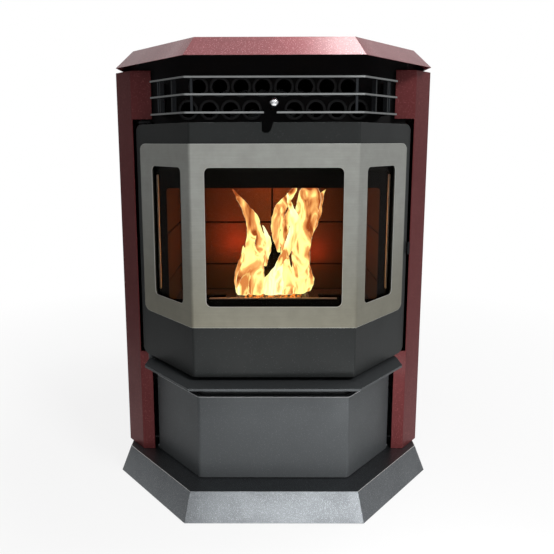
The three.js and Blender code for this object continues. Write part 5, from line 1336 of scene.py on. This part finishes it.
def makeTongue(name, offset, points, material, lumps):
    look = flameLook
    path = smoothPath([tuple(value / 1000 for value in point) for point in points], look["steps"])
    middle = look["depth"] + offset / 1000
    x, z, width = path[0]
    y = middle
    bpy.ops.mesh.primitive_circle_add(vertices=look["sides"], radius=width, fill_type="NGON",
                                      location=(x, y, z))
    tongue = bpy.context.object
    tongue.name = "flame_" + name
    tongue.scale = (1, look["flat"], 1)
    applyPlace(tongue)
    pickFaces(tongue, lambda face: True)
    for index, (nextX, nextZ, nextWidth) in enumerate(path[1:]):
        nextY = middle + look["sway"] * math.sin(0.6 * index + offset)
        bpy.ops.mesh.extrude_region_move(TRANSFORM_OT_translate={"value": (nextX - x, nextY - y, nextZ - z)})
        nextWidth = max(nextWidth, look["thinnest"])
        ratio = nextWidth / width
        bpy.ops.transform.resize(value=(ratio, ratio, 1), center_override=(nextX, nextY, nextZ))
        x, y, z, width = nextX, nextY, nextZ, nextWidth
    bpy.ops.mesh.select_all(action="SELECT")
    bpy.ops.mesh.normals_make_consistent(inside=False)
    leaveEdit()
    useModifier(tongue, "SUBSURF", levels=1, render_levels=1)
    roughenShape(tongue, lumps, look["rough"])
    focusOn(tongue)
    bpy.ops.object.shade_smooth()
    finishPiece(tongue, look["body"], "cast_iron", material)


def makeFlames():
    finish = {name: flameFinish("flame" + name, look["stops"], look["strength"])
              for name, look in flameLook["finishes"].items()}
    lumps = newLumps("flameLumps", flameLook["lumps"])
    for name, (offset, points) in flameLook["tongues"].items():
        makeTongue(name, offset, points, finish["Hot" if name in flameLook["hot"] else "Body"], lumps)
    print("flames:", len(flameLook["tongues"]))


makeFlames()


# floor, lights and camera

floorLook = {"colour": (0.93, 0.93, 0.93), "white": 0.85, "size": 60.0, "near": 0.5, "far": 1.6}
worldLook = {"level": 0.26, "card": (0.05, 0.05, 0.05)}
cardLook = {  # how much darker the reflected surroundings get at either side, and between which two places
    "left": 0.72, "right": 0.45, "floor": (0.45, 1.3), "world": (0.5, 0.95)}


def directlySeen(tree):
    rays = addNode(tree, "LightPath").outputs
    seen = calculate(tree, "MAXIMUM", rays["Is Camera Ray"], rays["Is Glossy Ray"])
    seen = calculate(tree, "MAXIMUM", seen, rays["Is Transmission Ray"])
    unscattered = calculate(tree, "LESS_THAN", rays["Diffuse Depth"], 0.5)
    return calculate(tree, "MULTIPLY", seen, unscattered)


def darkCards(tree, across, near, far):
    share = 0.0
    for side, most in ((-1, cardLook["left"]), (1, cardLook["right"])):
        card = mapRange(tree, across, side * near, side * far, 0.0, most, "SMOOTHSTEP")
        share = calculate(tree, "ADD", card, share)
    return calculate(tree, "MULTIPLY", share, addNode(tree, "LightPath").outputs["Is Glossy Ray"])


def findNode(tree, kind):
    return next(node for node in tree.nodes if node.type == kind)


def makeFloor():
    bpy.ops.mesh.primitive_plane_add(size=floorLook["size"], location=(0, 0, 0))
    floor = bpy.context.object
    floor.name = "floor"
    material, tree, into = newMaterial("floorPaper", Roughness=0.9, Specular_IOR_Level=0.1)
    into["Base Color"].default_value = (*floorLook["colour"], 1)
    cards = darkCards(tree, objectAxis(tree, "X"), *cardLook["floor"])
    glow = addNode(tree, "Emission", Strength=calculate(tree, "SUBTRACT", 1.0, cards))
    distance = addNode(tree, "VectorMath", {"operation": "LENGTH"}, i0=objectPoint(tree)).outputs["Value"]
    fade = mapRange(tree, distance, floorLook["near"], floorLook["far"], floorLook["white"])
    share = calculate(tree, "MULTIPLY", directlySeen(tree), fade)
    plain = findNode(tree, "BSDF_PRINCIPLED").outputs[0]
    both = addNode(tree, "MixShader", i0=share, i1=plain, i2=glow.outputs[0])
    tree.links.new(both.outputs[0], findNode(tree, "OUTPUT_MATERIAL").inputs["Surface"])
    floor.data.materials.append(material)


def makeWorld():
    world = bpy.data.worlds.new("studio")
    world.use_nodes = True
    bpy.context.scene.world = world
    tree = world.node_tree
    grey = [worldLook["level"]] * 3
    direction = addNode(tree, "TexCoord").outputs["Generated"]
    across = addNode(tree, "SeparateXYZ", Vector=direction).outputs["X"]
    white = mixColours(tree, darkCards(tree, across, *cardLook["world"]), (1, 1, 1), worldLook["card"])
    background = findNode(tree, "BACKGROUND")
    tree.links.new(mixColours(tree, directlySeen(tree), grey, white), background.inputs["Color"])


lamps = {
    "key": {"place": (1.5, -2.0, 2.2), "target": (0, 0, 0.45), "size": (0.6, 0.6), "power": 46},
    "ceiling": {"place": (0.39, -0.13, 2.3), "target": (0.1, -0.3, 0.8), "size": (0.34, 0.3), "power": 10},
    "canopy": {"place": (-0.05, -0.15, 2.3), "target": (0, -0.3, 0.8), "size": (0.8, 0.3), "power": 2.0},
    "low": {"place": (0.16, -0.64, 0.075), "target": (0.04, -0.32, 0.03), "size": (0.7, 0.05),
            "power": 1.3},
}
orangeFire = {"power": 0.4, "colour": (1.0, 0.33, 0.08), "radius": 0.03}
redFire = {"colour": (1.0, 0.1, 0.03), "radius": 0.02}
fireLamps = {  # in front of the flames, above them, and two red ones behind
    "front_left": {"place": (-0.05, -0.09, 0.43), **orangeFire},
    "front_right": {"place": (0.05, -0.09, 0.5), **orangeFire},
    "above": {"place": (0.0, -0.03, 0.6), **orangeFire},
    "rear_left": {"place": (-0.078, 0.012, 0.452), "power": 0.16, **redFire},
    "rear_right": {"place": (0.094, 0.012, 0.425), "power": 0.13, **redFire},
}


def placeLamp(name, kind, look):
    data = bpy.data.lights.new(name, kind)
    data.energy = look["power"]
    lamp = bpy.data.objects.new(name, data)
    bpy.context.scene.collection.objects.link(lamp)
    lamp.location = look["place"]
    lamp.visible_camera = False
    lamp.visible_transmission = False
    return lamp, data


def makeLamps():
    for name, look in lamps.items():
        lamp, data = placeLamp(name, "AREA", look)
        data.shape = "RECTANGLE"
        data.size, data.size_y = look["size"]
        aim = Vector(look["target"]) - Vector(look["place"])
        lamp.rotation_euler = aim.to_track_quat("-Z", "Y").to_euler()
    for name, look in fireLamps.items():
        lamp, data = placeLamp("fire_" + name, "POINT", look)
        data.color = look["colour"]
        data.shadow_soft_size = look["radius"]
        lamp.visible_glossy = False


cameraLook = {"place": (-0.01328, -1.31755, 0.67243), "yaw": -0.29, "tilt": 9.61, "roll": 0.11,
              "lens": 39.70, "shiftX": 0.0249, "shiftY": -0.0570}


def makeCamera():
    look = cameraLook
    data = bpy.data.cameras.new("camera")
    data.lens = look["lens"]
    data.shift_x = look["shiftX"]
    data.shift_y = look["shiftY"]
    camera = bpy.data.objects.new("camera", data)
    bpy.context.scene.collection.objects.link(camera)
    aim = Matrix.Rotation(math.radians(-look["yaw"]), 4, "Z")
    aim = aim @ Matrix.Rotation(math.radians(90 - look["tilt"]), 4, "X")
    aim = aim @ Matrix.Rotation(math.radians(-look["roll"]), 4, "Z")
    camera.matrix_world = Matrix.Translation(look["place"]) @ aim
    bpy.context.scene.camera = camera


makeFloor()
makeWorld()
makeLamps()
makeCamera()
bpy.context.scene.view_settings.view_transform = "Standard"
print("floor, lamps and camera set")
